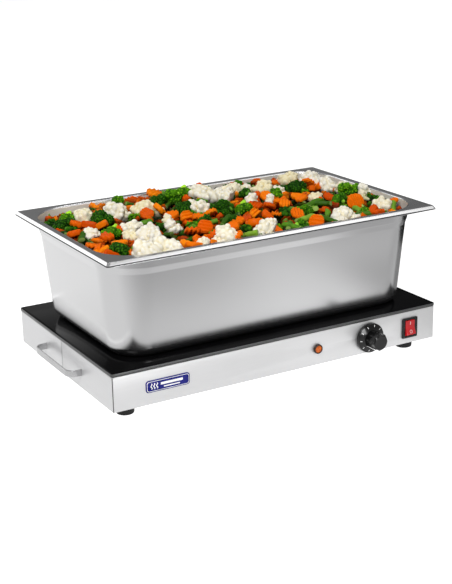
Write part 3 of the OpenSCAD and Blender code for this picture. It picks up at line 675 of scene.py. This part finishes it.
def make_pan():
    """A drawn gastronorm pan: heel, drafted walls, stacking shoulder, flat rim and turned-down lip."""
    draft = math.tan(math.radians(5.5))
    shoulder_z, neck_z = PAN_H - 28, PAN_H - 19
    foot = RIM + 3.5 + (shoulder_z - SHEET) * draft
    profile = rounded([(foot + 26, SHEET, 0), (foot, SHEET, 15), (RIM + 3.5, shoulder_z, 7),
                       (RIM + 0.6, neck_z, 6), (RIM, PAN_H, 3), (3.8, PAN_H, 1.1), (0.9, PAN_H - 3.9, 0),
                       (1.7, PAN_H - 4.3, 0), (1.7, PAN_H - 5.0, 0), (0.4, PAN_H - 5.3, 0),
                       (0.2, PAN_H - 6.2, 0)])
    inner, outer = [], []
    for i, here in enumerate(profile):
        along = profile[min(i + 1, len(profile) - 1)] - profile[max(i - 1, 0)]
        away = Vector((-along.y, along.x)).normalized() if along.length else Vector((0, 1))
        inner.append(here)
        outer.append(here + Vector((-abs(away.x), -abs(away.y))) * SHEET)

    def radius(inset, z):
        """The corner's radius: that of the opening, but nearly sharp at the rim's outer edge."""
        if z > PAN_H - 5.7 and inset < 9.5:
            return RIM_R + (OPENING_R - RIM_R) * max(0, inset - 5) / 4.5
        return max(8, OPENING_R - (inset - RIM))

    rows = list(outer[:-6]) + [Vector((2.6, PAN_H - 6.2))] + list(reversed(inner))
    rings = [ring(PAN_L / 2 - max(0, p.x), PAN_W / 2 - max(0, p.x), radius(p.x, p.y), p.y, 16) for p in rows]
    shell = new_piece("pan_shell", *loft(rings), "pan", "pan_steel", "pan_steel", ["food_pan"], PAN_PLACE, 40)
    shell.data.materials.append(looks["pan_groove_shadow"])
    shell.data.materials.append(looks["pan_inside_warm_reflection"])
    groove_low, groove_high = (pan_low.z + (PAN_H - drop) * MM for drop in (5.2, 4.0))
    for face in shell.data.polygons:
        away_x, away_y = face.center.x - MIDDLE_X, face.center.y - MIDDLE_Y
        on_lip = abs(away_x) > (PAN_L / 2 - 2.2) * MM or abs(away_y) > (PAN_W / 2 - 2.2) * MM
        inward = -away_x * face.normal.x - away_y * face.normal.y
        if len(face.vertices) > 4:
            continue
        # The lip's groove: dark steel as painted shadow
        if on_lip and groove_low < face.center.z < groove_high:
            face.material_index = 1
        # The inner walls: creamy steel as painted light reflected off the food
        if inward > 0.02 and face.center.z < pan_high.z - 2.2 * MM:
            face.material_index = 2


# ---------- casing and glass ----------

def make_casing():
    """The steel shells and their seams, drawn as dark strips of painted shadow, a dark strip of painted
    reflection on the front left corner, the glass with its dull edge, the handles in a darker steel as
    painted shade, feet and cable gland.
    """
    softened("front_shell", "casing_front", 0.45, "casing_steel")
    softened("rear_shell", "casing_rear", 0.45, "casing_steel")
    softened("bottom_plate", "casing_bottom", 0.2, "casing_steel", segments=2)
    # The handles in a darker steel as painted shade
    softened("handle_left", "bail_left", 0.45, "casing_steel", look="bail_steel_shaded")
    softened("handle_right", "bail_right", 0.45, "casing_steel", look="bail_steel_shaded")
    low, high, seam_y = case_low.z / MM + 0.6, case_high.z / MM - 0.6, case_high.y / MM
    # Dark strips in the seams between the shells, as painted shadow
    for name, end, out in (("seam_line_left", case_low.x, -1), ("seam_line_right", case_high.x, 1)):
        near, far = sorted((end / MM - out * 0.3, end / MM + out * 0.06))
        corners = ((near, -0.3), (far, -0.3), (far, 0.3), (near, 0.3))
        rings = [[(x, seam_y + y, z) for x, y in corners] for z in (low, high)]
        new_piece(name, *loft(rings), "base", "seam_shadow")
    # A dark strip on the front left corner's bend, as painted reflection
    corner_x, corner_y = case_low.x / MM + 0.42, FRONT_Y / MM + 0.42
    round_bar = ring(0.5, 0.5, 0.5, 0, 3)
    rings = [[(corner_x + x, corner_y + y, z) for x, y, _ in round_bar] for z in (low, high + 0.2)]
    new_piece("corner_dark_reflection", *loft(rings), "base", "seam_shadow")
    glass = softened("glass_plate", "glass_top", 0.8, "black_glass", segments=2)
    glass.data.materials.append(looks["glass_edge"])
    for face in glass.data.polygons:
        if abs(face.normal.z) < 0.95:
            face.material_index = 1
    for end in ("front_left", "front_right", "rear_left", "rear_right"):
        softened(f"foot_{end}", f"rubber_foot_{end}", 0.5, "foot_rubber")
    softened("gland_body", "gland_base", 0.5, "black_plastic")
    softened("gland_dome_nut", "gland_cap", 0.6, "black_plastic")


# ---------- controls ----------

def knob_marks(place, face_height):
    """Ten white dashes on the skirt's sloping face, and the pointer line along the grip's lower left rib."""
    lines = [(-14 + 36 * i, 17.25, 20.05, 0.45, face_height, (-0.15, 0.12)) for i in range(10)]
    lines.append((135, 12.9, 13.6, 0.6, lambda reach: 10, (0.0, 19.0)))
    parts = []
    for angle, near, far, half, surface, levels in lines:
        out = Vector((-math.sin(math.radians(angle)), math.cos(math.radians(angle))))
        side = Vector((out.y, -out.x)) * half
        corners = ((near, 1), (far, 1), (far, -1), (near, -1))
        parts.append(loft([[(*(out * reach + side * way), surface(reach) + level) for reach, way in corners]
                           for level in levels]))
    new_piece("knob_marks", *joined(parts), "knob", "white_print", "white_print", ["dial_marks"], place)


def make_knob():
    """A turned skirt with a sloping face, and a grip with eight ribs."""
    place = front_panel("control_knob")
    look = "knob_plastic"
    low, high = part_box("control_knob")
    skirt_side, skirt_top = 7, 10
    edge, grip_top = (high.x - low.x) / 2 / MM, (FRONT_Y - low.y) / MM
    skirt = rounded([(3.2, 1.2, 0), (edge - 0.6, 1.2, 0.5), (edge, 2.0, 0.4), (edge, skirt_side, 0.9),
                     (13.5, skirt_top, 0.6), (12, skirt_top + 0.01, 0)])
    new_piece("knob_skirt", *lathe(skirt, sides=128), "knob", look, look, ["control_knob"], place, 40)

    def ribs(radius, height, angle):
        """The grip's radius with its ribs, which fade out towards its top and its axis."""
        nearest = (angle + math.pi / 8) % (math.pi / 4) - math.pi / 8
        share = max(0, min(1, (grip_top - 0.8 - height) / 1.2))
        outer = max(0, min(1, (radius - 8.5) / 2.5))
        return radius + 2.1 * outer * share * math.exp(-((nearest * 12.2 / 1.7) ** 2))

    grip = rounded([(10.8, skirt_top - 1, 0), (11.35, skirt_top + 0.4, 0.3), (11.35, grip_top - 0.6, 0.9),
                    (10.2, grip_top, 0.4), (9.2, grip_top, 0.3), (8.9, grip_top - 0.3, 0.3),
                    (1.0, grip_top - 0.3, 0)])
    heights = []
    for a, b in zip(grip, grip[1:]):
        steps = max(1, round((b - a).length / 2.5))
        heights += [a.lerp(b, k / steps) for k in range(steps)]
    heights.append(grip[-1])
    new_piece("knob_grip", *lathe(heights, ribs, sides=192), "knob", look, look, [], place, 50)
    knob_marks(place, lambda reach: skirt_top - (reach - 13.5) * (skirt_top - skirt_side) / (edge - 13.5))


def make_pilot():
    """The lamp's dark outer ring and its amber lens, nearly flat."""
    place = front_panel("pilot_lens")
    low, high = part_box("pilot_lens")
    edge, top = (high.x - low.x) / 2 / MM, (FRONT_Y - low.y) / MM
    outline = rounded([(edge - 2, 0.0, 0), (edge, 0.0, 0), (edge, top - 0.3, 1.0), (edge - 1.6, top, 0.4),
                       (edge - 1.8, top - 0.9, 0)])
    new_piece("pilot_ring", *lathe(outline), "base", "lens_rim", "amber_lens", ["pilot_lens"], place)
    inner = edge - 1.5
    turns = [t * math.pi / 16 for t in range(8, 0, -1)]
    dome = [(inner * math.sin(turn), top - 1.1 + 0.8 * math.cos(turn)) for turn in turns]
    lens = lathe([(inner - 0.2, 0.3)] + dome + [(0.05, top - 0.3)])
    new_piece("pilot_dome", *lens, "base", "amber_lens", "amber_lens", [], place)


def ribbon(line, width, low, high):
    """A raised strip of one width along a line of (x, y) points."""
    rings = []
    for i, here in enumerate(line):
        along = (line[min(i + 1, len(line) - 1)] - line[max(i - 1, 0)]).normalized()
        side = Vector((-along.y, along.x)) * width / 2
        right, left = here - side, here + side
        rings.append([(*right, low), (*left, low), (*left, high), (*right, high)])
    return loft(rings)


def make_switch():
    """The switch's frame and button, with the bar and the ring that mark on and off."""
    softened("switch_housing", "switch_frame", 0.6, "black_plastic", look="switch_black")
    softened("switch_rocker", "rocker_button", 0.5, "red_rocker", body="rocker")
    # The rocker rests tipped by 10 degrees about its pivot, and each half of its face slopes the other way
    tipped = Matrix.Translation((0, 0, -2)) @ Matrix.Rotation(math.radians(-10), 4, "X")
    slope = 2.4 / 13
    bar = [Vector((0, 4.2 + 0.95 * t)) for t in range(6)]
    turns = [t * math.pi / 12 for t in range(25)]
    loop = [Vector((2.0 * math.cos(turn), -6.4 + 2.3 * math.sin(turn))) for turn in turns]
    parts = []
    for line, width, rise in ((bar, 1.1, slope), (loop, 0.85, -slope)):
        face = tipped @ Matrix.Translation((0, 0, 5)) @ Matrix.Rotation(math.atan(rise), 4, "X")
        points, faces = ribbon(line, width, -0.1, 0.3)
        parts.append(([face @ Vector(p) for p in points], faces))
    place = front_panel("switch_housing")
    new_piece("rocker_marks", *joined(parts), "rocker", "legend", "white_print", ["rocker_legend"], place)


def make_label():
    """A domed navy label with a pale border, three wavy lines of steam and two plain bars."""
    place = front_panel("name_label")
    half_x, half_y = 33, 8.5
    rows = [(0, 4.0, 0.0), (0, 4.0, 0.7), (0.25, 3.8, 1.0), (1.2, 3.2, 1.25), (3, 2.4, 1.35)]
    rings = [ring(half_x - inset, half_y - inset, r, z) for inset, r, z in rows]
    new_piece("label_plate", *loft(rings), "base", "label_blue", "label_blue", ["name_label"], place)
    border = ((1.4, 1.2), (1.4, 1.42), (2.0, 1.44), (2.0, 1.2))
    band = [ring(half_x - inset, half_y - inset, 3.2, z) for inset, z in border]
    parts = [loft(band + band[:1], False, False)]
    for i in range(3):
        line = [Vector((-25 + 4.2 * i + 0.9 * math.sin(t * math.pi / 6), -4 + t * 8 / 18)) for t in range(19)]
        parts.append(ribbon(line, 1.3, 1.25, 1.48))
    for y, length, width in ((1.6, 33, 3.4), (-3.2, 24, 1.6)):
        line = [Vector((5.5 - length / 2 + length * t / 4, y)) for t in range(5)]
        parts.append(ribbon(line, width, 1.25, 1.48))
    new_piece("label_print", *joined(parts), "base", "white_print", "white_print", [], place)


# ---------- food ----------

# The heap from above, its back row first: C and c are large and small cauliflower, B and b broccoli crowns,
# g a small crown on its side, o a carrot slice, O one on its edge, s a carrot cube and j a bean
HEAP_ROWS = [
    "...........b....o.....s.................",
    "........................................",
    "...................g....................",
    "...............B.g..bC....b......C......",
    "...g....................C.c.............",
    ".....C...C..................C......C....",
    ".B..........C.........C..b........o.....",
    "...o..B......o...............c.B........",
    "....o......o.............o..b....ss.C...",
    ".....o.........B.C......c.o.............",
    ".o........o..o............c.........c...",
    "..jc.....j..c......B...o.....oo.....g.b.",
    ".....goC......o..o...g.o..o..o.c.......c",
    "....o..........o........o.o.....o.......",
    "......c....c...b.............j...b..c...",
    "o.......C......j.jb..o........j.........",
    "....o.........o...oo..oo...bj...........",
    "oo..........o............o...s...O......",
    "...B............o..o..................o.",
    ".o......s....o...........js...j.j..C....",
    ".......C...o..........j......Cj.bo..j...",
    ".....C..c.ocs.Co.j.Co.jb.o.jc.csjo......",
]
# A letter's width and depth on the heap, and the food's highest and lowest points
CELL = 13
TOP_LIMIT = PAN_H + 15.4
BED_BOTTOM = 95
PIECE_TRIANGLES = 180000
GOLDEN_ANGLE = 2.39996
# Half the length, half the width and the corners' radius, of the heap and of the pan above its shoulder
HEAP_EDGE = (246, 143.5, 56)
INSIDE = (247.2, 144.7, 55.5)
SHOULDER_Z, WALL_DRAFT = 122, 0.0963
# Heights over the heap's surface at which a vegetable's painted shade is full, and where it ends
SHADED_Z, LIT_Z = -12, 6
FILLER_GRID, FILLED = (27, 21), (246, 144)


def geodesic(n):
    """Unit directions and triangles of an icosahedron whose faces are split n times each way."""
    gold = (1 + math.sqrt(5)) / 2
    signs = list(itertools.product((-1, 1), repeat=2))
    corners = np.array([np.roll((0, a, b * gold), k) for k in range(3) for a, b in signs])
    sides = []
    for a, b, c in itertools.combinations(range(12), 3):
        edges = corners[[a, b, c]] - corners[[b, c, a]]
        if np.allclose(np.linalg.norm(edges, axis=1), 2):
            sides.append((a, b, c) if np.linalg.det(corners[[a, b, c]]) > 0 else (a, c, b))
    points, tris = [], []
    for a, b, c in sides:
        index = {}
        for i in range(n + 1):
            for j in range(n + 1 - i):
                index[i, j] = len(points)
                points.append((corners[a] * (n - i - j) + corners[b] * i + corners[c] * j) / n)
        for i in range(n):
            for j in range(n - i):
                tris.append((index[i, j], index[i + 1, j], index[i, j + 1]))
                if j < n - i - 1:
                    tris.append((index[i + 1, j], index[i + 1, j + 1], index[i, j + 1]))
    points = np.array(points)
    points /= np.linalg.norm(points, axis=1)[:, None]
    _, first, back = np.unique(points.round(5), axis=0, return_index=True, return_inverse=True)
    return points[first], back.ravel()[np.array(tris)]


def crowded(directions, power):
    """Directions drawn towards +Z, so that a shape's top has more points than its underside."""
    polar = np.arccos(np.clip(directions[:, 2], -1, 1))
    drawn = np.pi * (polar / np.pi) ** power
    flat = directions[:, :2] / np.maximum(np.linalg.norm(directions[:, :2], axis=1), 1e-9)[:, None]
    return np.column_stack([flat * np.sin(drawn)[:, None], np.cos(drawn)])


def blob(directions, centres, radii):
    """How far a union of spheres reaches along each direction, and which sphere it ends on."""
    along = directions @ centres.T
    room = radii ** 2 - (centres ** 2).sum(1)[None] + along ** 2
    reach = np.where(room > 0, along + np.sqrt(np.maximum(room, 0)), 0)
    return reach.max(1), reach.argmax(1)


def normals(verts, tris):
    """A unit normal per vertex, weighted by the area of its triangles."""
    a, b, c = (verts[tris[:, k]] for k in range(3))
    flat = np.cross(b - a, c - a)
    made = np.zeros_like(verts)
    for k in range(3):
        np.add.at(made, tris[:, k], flat)
    return made / np.maximum(np.linalg.norm(made, axis=1), 1e-12)[:, None]


def neighbour_mean(values, tris):
    """The mean over each vertex's neighbours, each counted once per triangle that they share."""
    total, count = np.zeros_like(values), np.zeros(len(values))
    for a, b in ((0, 1), (1, 2), (2, 0)):
        np.add.at(total, tris[:, a], values[tris[:, b]])
        np.add.at(total, tris[:, b], values[tris[:, a]])
        np.add.at(count, tris[:, a], 1)
        np.add.at(count, tris[:, b], 1)
    return (total.T / count).T


def smoothed(values, tris):
    """Values per vertex, drawn twice halfway towards those of the neighbours."""
    for _ in range(2):
        values = 0.5 * values + 0.5 * neighbour_mean(values, tris)
    return values


def creases(verts, tris, reach):
    """0 deep in a crease, 0.5 on the flat and 1 on a bump, per vertex."""
    bend = ((verts - neighbour_mean(verts, tris)) * normals(verts, tris)).sum(1) / reach
    return np.clip(0.5 + smoothed(bend, tris), 0, 1)


def sprout(rng, count, spread, shake=0.25):
    """Unit directions spread evenly over a cap round +Z, each shaken a little."""
    i = np.arange(count) + 0.5
    z = 1 - (1 - math.cos(spread)) * i / count
    angle = i * GOLDEN_ANGLE + rng.uniform(0, 6.28)
    flat = np.sqrt(np.maximum(0, 1 - z ** 2))
    made = np.column_stack([flat * np.cos(angle), flat * np.sin(angle), z])
    made += rng.normal(0, shake / math.sqrt(count), made.shape)
    return made / np.linalg.norm(made, axis=1)[:, None]


def facing(axis):
    """A turn that takes +Z to an axis."""
    return np.array(Vector((0, 0, 1)).rotation_difference(Vector(axis)).to_matrix())


def floret(rng, radius, heads, spread, head_r, beads, bead_r, fineness, lift=0.62, flat=0.85, cuts=0):
    """A floret: heads on a dome, small beads over each, a forked stem below, and a number of knife cuts."""
    directions, tris = geodesic(fineness)
    directions = crowded(directions, 1.25)
    balls = [(np.zeros(3), 0.62 * radius, 0)]
    for way in sprout(rng, heads, math.radians(spread), 0.9):
        r = radius * head_r * rng.uniform(0.8, 1.2)
        middle = way * (radius * lift * rng.uniform(0.88, 1.08)) * (1, 1, flat)
        balls.append((middle, r * 0.93, 0))
        for small in sprout(rng, beads, math.radians(100), 0.8):
            balls.append((middle + facing(way) @ small * r * 0.86, r * bead_r * rng.uniform(0.8, 1.25), 0))
    # The stem, from the middle down, and five branches round it
    for k in range(6):
        middle = np.array((0.03 * k * radius, 0.02 * k * radius, -(0.35 + 0.16 * k) * radius))
        balls.append((middle, radius * (0.34 - 0.015 * k), 1))
    for k in range(5):
        angle = 2 * math.pi * (k + rng.uniform(-0.2, 0.2)) / 5
        middle = np.array((0.46 * math.cos(angle), 0.46 * math.sin(angle), -0.30)) * radius
        balls.append((middle, radius * 0.26, 1))
    centres, radii, is_stem = (np.array(column, float) for column in zip(*balls))
    reach, which = blob(directions, centres, radii)
    verts = directions * reach[:, None] * rng.uniform(0.88, 1.12, 3)
    for _ in range(cuts):
        angle, tip = rng.uniform(0, 2 * math.pi), rng.uniform(-0.5, 0.45)
        way = np.array((math.cos(angle) * math.cos(tip), math.sin(angle) * math.cos(tip), math.sin(tip)))
        over = np.maximum(0, verts @ way - radius * rng.uniform(0.45, 0.72))
        verts -= 0.9 * over[:, None] * way
    crease = creases(verts, tris, radius * 1.1 / fineness)
    return {"verts": verts, "tris": tris, "crease": crease, "stem": smoothed(is_stem[which], tris)}


def banded(rings):
    """Triangles that join rings of points, closed by a middle point at each end."""
    rings = np.array(rings, float)
    rows, count = rings.shape[:2]
    verts = np.vstack([rings.reshape(-1, 3), rings[0].mean(0), rings[-1].mean(0)])
    i, k = np.meshgrid(np.arange(rows - 1), np.arange(count), indexing="ij")
    a = i * count + k
    b = i * count + (k + 1) % count
    quads = np.stack([a, b, b + count, a + count], -1).reshape(-1, 4)
    tris = np.vstack([quads[:, [0, 1, 2]], quads[:, [0, 2, 3]]])
    around = np.arange(count)
    after = (around + 1) % count
    first, last = rows * count, rows * count + 1
    cap = np.column_stack([after, around, np.full(count, first)])
    end = (rows - 1) * count
    end_cap = np.column_stack([around + end, after + end, np.full(count, last)])
    return verts, np.vstack([tris, cap, end_cap])


def carrot_slice(rng, radius, thick, start=-1.0, stop=1.0):
    """A crinkle-cut slice: both faces wave together, and the rim is rounded."""
    pitch, wave, soft = rng.uniform(4.4, 5.4), rng.uniform(0.7, 1.0), 1.1
    shift = rng.uniform(0, 6.28)
    rings = []
    for t in np.linspace(start * 0.985, stop * 0.985, 46):
        x = t * radius * (1 + 0.03 * math.sin(3 * t + shift))
        chord = max(0.6, math.sqrt(max(0, 1 - t * t)) * radius * (1 + 0.04 * math.sin(5 * t + shift)))
        edge = min(1, (1 - abs(t)) * radius / soft * 0.9 + 0.25)
        half = thick / 2 * edge
        lift = wave * math.sin(2 * math.pi * x / pitch + shift)
        inner = max(0.2, chord - soft)
        outline = [(-inner, half), (-inner * 0.4, half), (inner * 0.4, half), (inner, half),
                   (chord - 0.3, half * 0.7), (chord, 0), (chord - 0.3, -half * 0.7), (inner, -half),
                   (inner * 0.4, -half), (-inner * 0.4, -half), (-inner, -half), (-chord + 0.3, -half * 0.7),
                   (-chord, 0), (-chord + 0.3, half * 0.7)]
        rings.append([(x, y, z + lift) for y, z in reversed(outline)])
    verts, tris = banded(rings)
    return {"verts": verts, "tris": tris, "crease": creases(verts, tris, 0.5), "stem": np.zeros(len(verts))}


def bean_piece(rng, radius, length):
    """A cut length of bean: slightly bent and lumpy, with slanted ends that show the pale inside."""
    bend = rng.uniform(0.0, 0.012)
    slants = rng.uniform(-0.9, 0.9, 2)
    rows = [(-1, 0.0), (-1, 0.8), (-1, 0.97)] + [(t, 1.0) for t in np.linspace(-0.97, 0.97, 13)]
    rows += [(1, 0.97), (1, 0.8), (1, 0.0)]
    rings, pale = [], []
    for t, share in rows:
        one = []
        s = t * length / 2
        swell = radius * share * (1 + 0.06 * math.sin(7 * t + bend * 900))
        slant = slants[0] * max(0, -t) ** 4 + slants[1] * max(0, t) ** 4
        for k in range(14):
            angle = 2 * math.pi * k / 14
            y, z = swell * math.cos(angle), swell * 0.86 * math.sin(angle)
            one.append((s + slant * y, y + bend * s * s, z))
        rings.append(one)
        pale += [1.0 if share < 0.9 else 0.0] * 14
    verts, tris = banded([r[::-1] for r in rings])
    pale = np.array(pale + [1.0, 1.0])
    return {"verts": verts, "tris": tris, "crease": np.full(len(verts), 0.5), "stem": pale}


def chunk(rng, half):
    """A small cut cube with soft edges."""
    directions, tris = geodesic(7)
    squared = (np.abs(directions) ** 7).sum(1) ** (-1 / 7)
    verts = directions * squared[:, None] * half * rng.uniform(0.85, 1.15, 3)
    return {"verts": verts, "tris": tris, "crease": np.full(len(verts), 0.6), "stem": np.zeros(len(verts))}


def heap_height(x, y):
    """Height of the heap's surface above the pan's bottom: a low dome, higher at the right and the back."""
    dome = 147 - 4 * (x / 250) ** 2 - 2 * (y / 145) ** 2
    return dome + 2 * (x / 250) + 3 * (y / 145)


def clamped(x, y, half_x, half_y, corner):
    """The places nearest to (x, y) inside a rectangle with round corners."""
    x, y = np.clip(x, -half_x, half_x), np.clip(y, -half_y, half_y)
    over_x, over_y = np.abs(x) - (half_x - corner), np.abs(y) - (half_y - corner)
    far = np.hypot(over_x, over_y)
    out = (over_x > 0) & (over_y > 0) & (far > corner)
    share = np.where(out, corner / np.maximum(far, 1e-9), 1)
    return (np.where(out, np.sign(x) * (half_x - corner + over_x * share), x),
            np.where(out, np.sign(y) * (half_y - corner + over_y * share), y))


def held_inside(x, y, margin):
    """The nearest place that keeps a margin from the heap's edge."""
    half_x, half_y, corner = HEAP_EDGE
    return clamped(x, y, half_x - margin, half_y - margin, max(4, corner - margin))


def pressed(verts):
    """Points kept inside the pan: those past its wall, drafted below the shoulder, are laid against it."""
    shrink = WALL_DRAFT * np.maximum(0, SHOULDER_Z - verts[:, 2])
    x, y = clamped(verts[:, 0], verts[:, 1], *(size - shrink for size in INSIDE))
    return np.column_stack([x, y, verts[:, 2]])


def spun(rng, tilt):
    """A random turn about the vertical, then a tilt of up to so many degrees in a random direction."""
    angle = rng.uniform(0, 2 * math.pi)
    axis = Vector((math.cos(angle), math.sin(angle), 0))
    lean = Matrix.Rotation(math.radians(tilt) * rng.uniform(0.2, 1), 3, axis)
    return np.array(lean @ Matrix.Rotation(rng.uniform(0, 2 * math.pi), 3, "Z"))


def lying(rng, tilt):
    """Tipped by so many degrees towards the front left, and turned a little about its own axis."""
    lean = Matrix.Rotation(math.radians(tilt), 3, Vector((math.cos(-0.5), math.sin(-0.5), 0)))
    return np.array(lean @ Matrix.Rotation(rng.uniform(-0.5, 0.5), 3, "Z"))


class Heap:
    """Collects the placed vegetables by kind, and makes one or more pieces of each kind."""

    def __init__(self, rng):
        self.rng = rng
        self.parts = {}

    def put(self, kind, shape, place, turn, scale, tones):
        """Adds a shape at a place, sunk under TOP_LIMIT where it would stand out, and kept inside the pan."""
        verts = shape["verts"] @ turn.T * scale + np.array(place)
        verts[:, 2] -= max(0, verts[:, 2].max() - TOP_LIMIT)
        verts = pressed(verts)
        tone = np.full(len(verts), self.rng.uniform(*tones))
        # Painted shade: how far each point lies under the heap's surface
        over = verts[:, 2] - heap_height(verts[:, 0], verts[:, 1])
        depth = np.clip((over - SHADED_Z) / (LIT_Z - SHADED_Z), 0, 1)
        group = self.parts.setdefault(kind, [[]])
        if sum(len(part[1]) for part in group[-1]) + len(shape["tris"]) > PIECE_TRIANGLES:
            group.append([])
        group[-1].append((verts, shape["tris"], shape["crease"], shape["stem"], tone, depth))

    def pieces(self):
        for kind, groups in self.parts.items():
            for number, parts in enumerate(groups, 1):
                name = f"food_{kind}_{number}"
                verts, tris, start = [], [], 0
                for part_verts, part_tris, *_ in parts:
                    verts.append(part_verts)
                    tris.append(part_tris + start)
                    start += len(part_verts)
                mesh = mesh_of(name, np.vstack(verts), np.vstack(tris))
                for column, layer in ((2, "crease"), (3, "stem"), (4, "tone"), (5, "depth")):
                    values = np.concatenate([p[column] for p in parts]).astype(np.float32)
                    mesh.attributes.new(layer, "FLOAT", "POINT").data.foreach_set("value", values)
                show(name, mesh, "pan", kind, sharp=60)


def mesh_of(name, verts, tris):
    """A mesh from arrays of points and triangles, in millimetres above the pan's bottom."""
    mesh = bpy.data.meshes.new(name)
    mesh.vertices.add(len(verts))
    mesh.vertices.foreach_set("co", verts.astype(np.float32).ravel())
    mesh.loops.add(3 * len(tris))
    mesh.loops.foreach_set("vertex_index", tris.astype(np.int32).ravel())
    mesh.polygons.add(len(tris))
    mesh.polygons.foreach_set("loop_start", np.arange(0, 3 * len(tris), 3, dtype=np.int32))
    mesh.update(calc_edges=True)
    mesh.validate()
    mesh.transform(PAN_PLACE @ Matrix.Scale(MM, 4))
    return mesh


def make_bed():
    """The lumpy body of the heap, under the vegetables, which closes the gaps between them, painted dark as
    the shade deep in the heap.
    """
    steps = 26
    rings = [ring(238, 136, 50, BED_BOTTOM, 16), ring(243.5, 141.5, 54, BED_BOTTOM + 6, 16)]
    for k in range(steps):
        share = 1 - k / steps
        one = []
        for x, y, _ in ring(244.5, 142.5, 55, 0, 16):
            px, py = x * share, y * share
            lump = noise.noise(Vector((px / 16, py / 16, 3.1))) * 4
            one.append((px, py, heap_height(px, py) - 16 + lump))
        rings.append(one)
    points, faces = loft(rings)
    new_piece("food_bed", points, faces, "pan", "under_food", None, [], PAN_PLACE, 60)


def make_food():
    """The vegetables that show, laid by HEAP_ROWS, then an even layer of fillers a little below them."""
    rng = np.random.default_rng(7)
    big_curds = [floret(rng, 18, 8, 105, 0.56, 12, 0.3, 19, 0.55, cuts=1) for _ in range(6)]
    small_curds = [floret(rng, 11, 5, 105, 0.6, 9, 0.34, 12, 0.55) for _ in range(5)]
    big_crowns = [floret(rng, 16.5, 9, 92, 0.44, 30, 0.2, 22, 0.6, 0.75) for _ in range(4)]
    small_crowns = [floret(rng, 10.5, 5, 90, 0.52, 20, 0.22, 14, 0.55, 0.75) for _ in range(4)]
    slices = [carrot_slice(rng, rng.uniform(8.5, 11.5), rng.uniform(4.5, 6.5)) for _ in range(8)]
    halves = [carrot_slice(rng, rng.uniform(8.5, 11.5), rng.uniform(5, 8), -1, rng.uniform(-0.1, 0.5))
              for _ in range(6)]
    beans = [bean_piece(rng, rng.uniform(3.6, 4.6), rng.uniform(16, 28)) for _ in range(8)]
    cubes = [chunk(rng, 4.8) for _ in range(3)]
    heap = Heap(rng)

    def settle(kind, shapes, x, y, margin, rise, turn, scale, tones=(0, 1)):
        """Puts one of the shapes on the heap, so far above its surface as rise says."""
        x, y = held_inside(x, y, margin)
        shape = shapes[rng.integers(len(shapes))]
        heap.put(kind, shape, (x, y, heap_height(x, y) + rise), turn, scale, tones)

    # By letter: kind, shapes, distance to the wall, rise over the heap, way of turning, tilt, scale, tones
    letters = {
        "C": ("cauliflower", big_curds, 20, -3, spun, 60, (1.0, 1.25), (0, 1)),
        "c": ("cauliflower", small_curds, 11, 1, spun, 80, (0.9, 1.15), (0, 1)),
        "B": ("broccoli", big_crowns, 17, 0, spun, 50, (1.0, 1.2), (0, 0.4)),
        "b": ("broccoli", small_crowns, 11, 1, spun, 80, (1.0, 1.3), (0, 1)),
        "g": ("broccoli", small_crowns, 12, 4, lying, 100, (1.3, 1.5), (0.85, 1)),
        "o": ("carrot", slices, 10, 5, spun, 50, (1.0, 1.25), (0, 1)),
        "O": ("carrot", slices, 10, 8, lying, 70, 1.1, (0, 1)),
        "j": ("bean", beans, 12, 4, spun, 30, 1.1, (0, 1)),
        "s": ("carrot", cubes, 7, 3, spun, 60, 1.0, (0, 1)),
    }
    for row, line in enumerate(HEAP_ROWS):
        for column, letter in enumerate(line):
            x = (column - (len(line) - 1) / 2) * CELL + rng.uniform(-2, 2)
            y = ((len(HEAP_ROWS) - 1) / 2 - row) * CELL + rng.uniform(-2, 2)
            if letter not in letters:
                continue
            kind, shapes, margin, rise, turned, tilt, scale, tones = letters[letter]
            if letter == "o" and rng.uniform() >= 0.65:
                shapes = halves
            turn = turned(rng, tilt)
            if isinstance(scale, tuple):
                scale = rng.uniform(*scale)
            # The slices right of the middle are smaller
            if letter == "o" and x > 10 and abs(y) < 100:
                scale *= 0.82
            settle(kind, shapes, x, y, margin, rise, turn, scale, tones)
    coarse_crowns = [floret(rng, 10.5, 5, 90, 0.52, 10, 0.3, 8, 0.55, 0.75) for _ in range(3)]
    fillers = [("carrot", slices, 10), ("carrot", halves, 10), ("bean", beans, 11), ("carrot", halves, 10),
               ("carrot", slices, 10), ("broccoli", coarse_crowns, 10), ("bean", beans, 11)]
    columns, rows = FILLER_GRID
    for i in range(columns * rows):
        kind, shapes, margin = fillers[rng.integers(len(fillers))]
        x = (2 * (i % columns + rng.uniform(0, 1)) / columns - 1) * FILLED[0]
        y = (2 * (i // columns + rng.uniform(0, 1)) / rows - 1) * FILLED[1]
        settle(kind, shapes, x, y, margin, -rng.uniform(3.5, 10), spun(rng, 50), rng.uniform(1.0, 1.2))
    heap.pieces()
    make_bed()


# ---------- the whole ----------

looks = {}
make_studio()
looks.update(make_looks())
dress_nodes()
make_pan()
make_casing()
make_knob()
make_pilot()
make_switch()
make_label()
make_food()
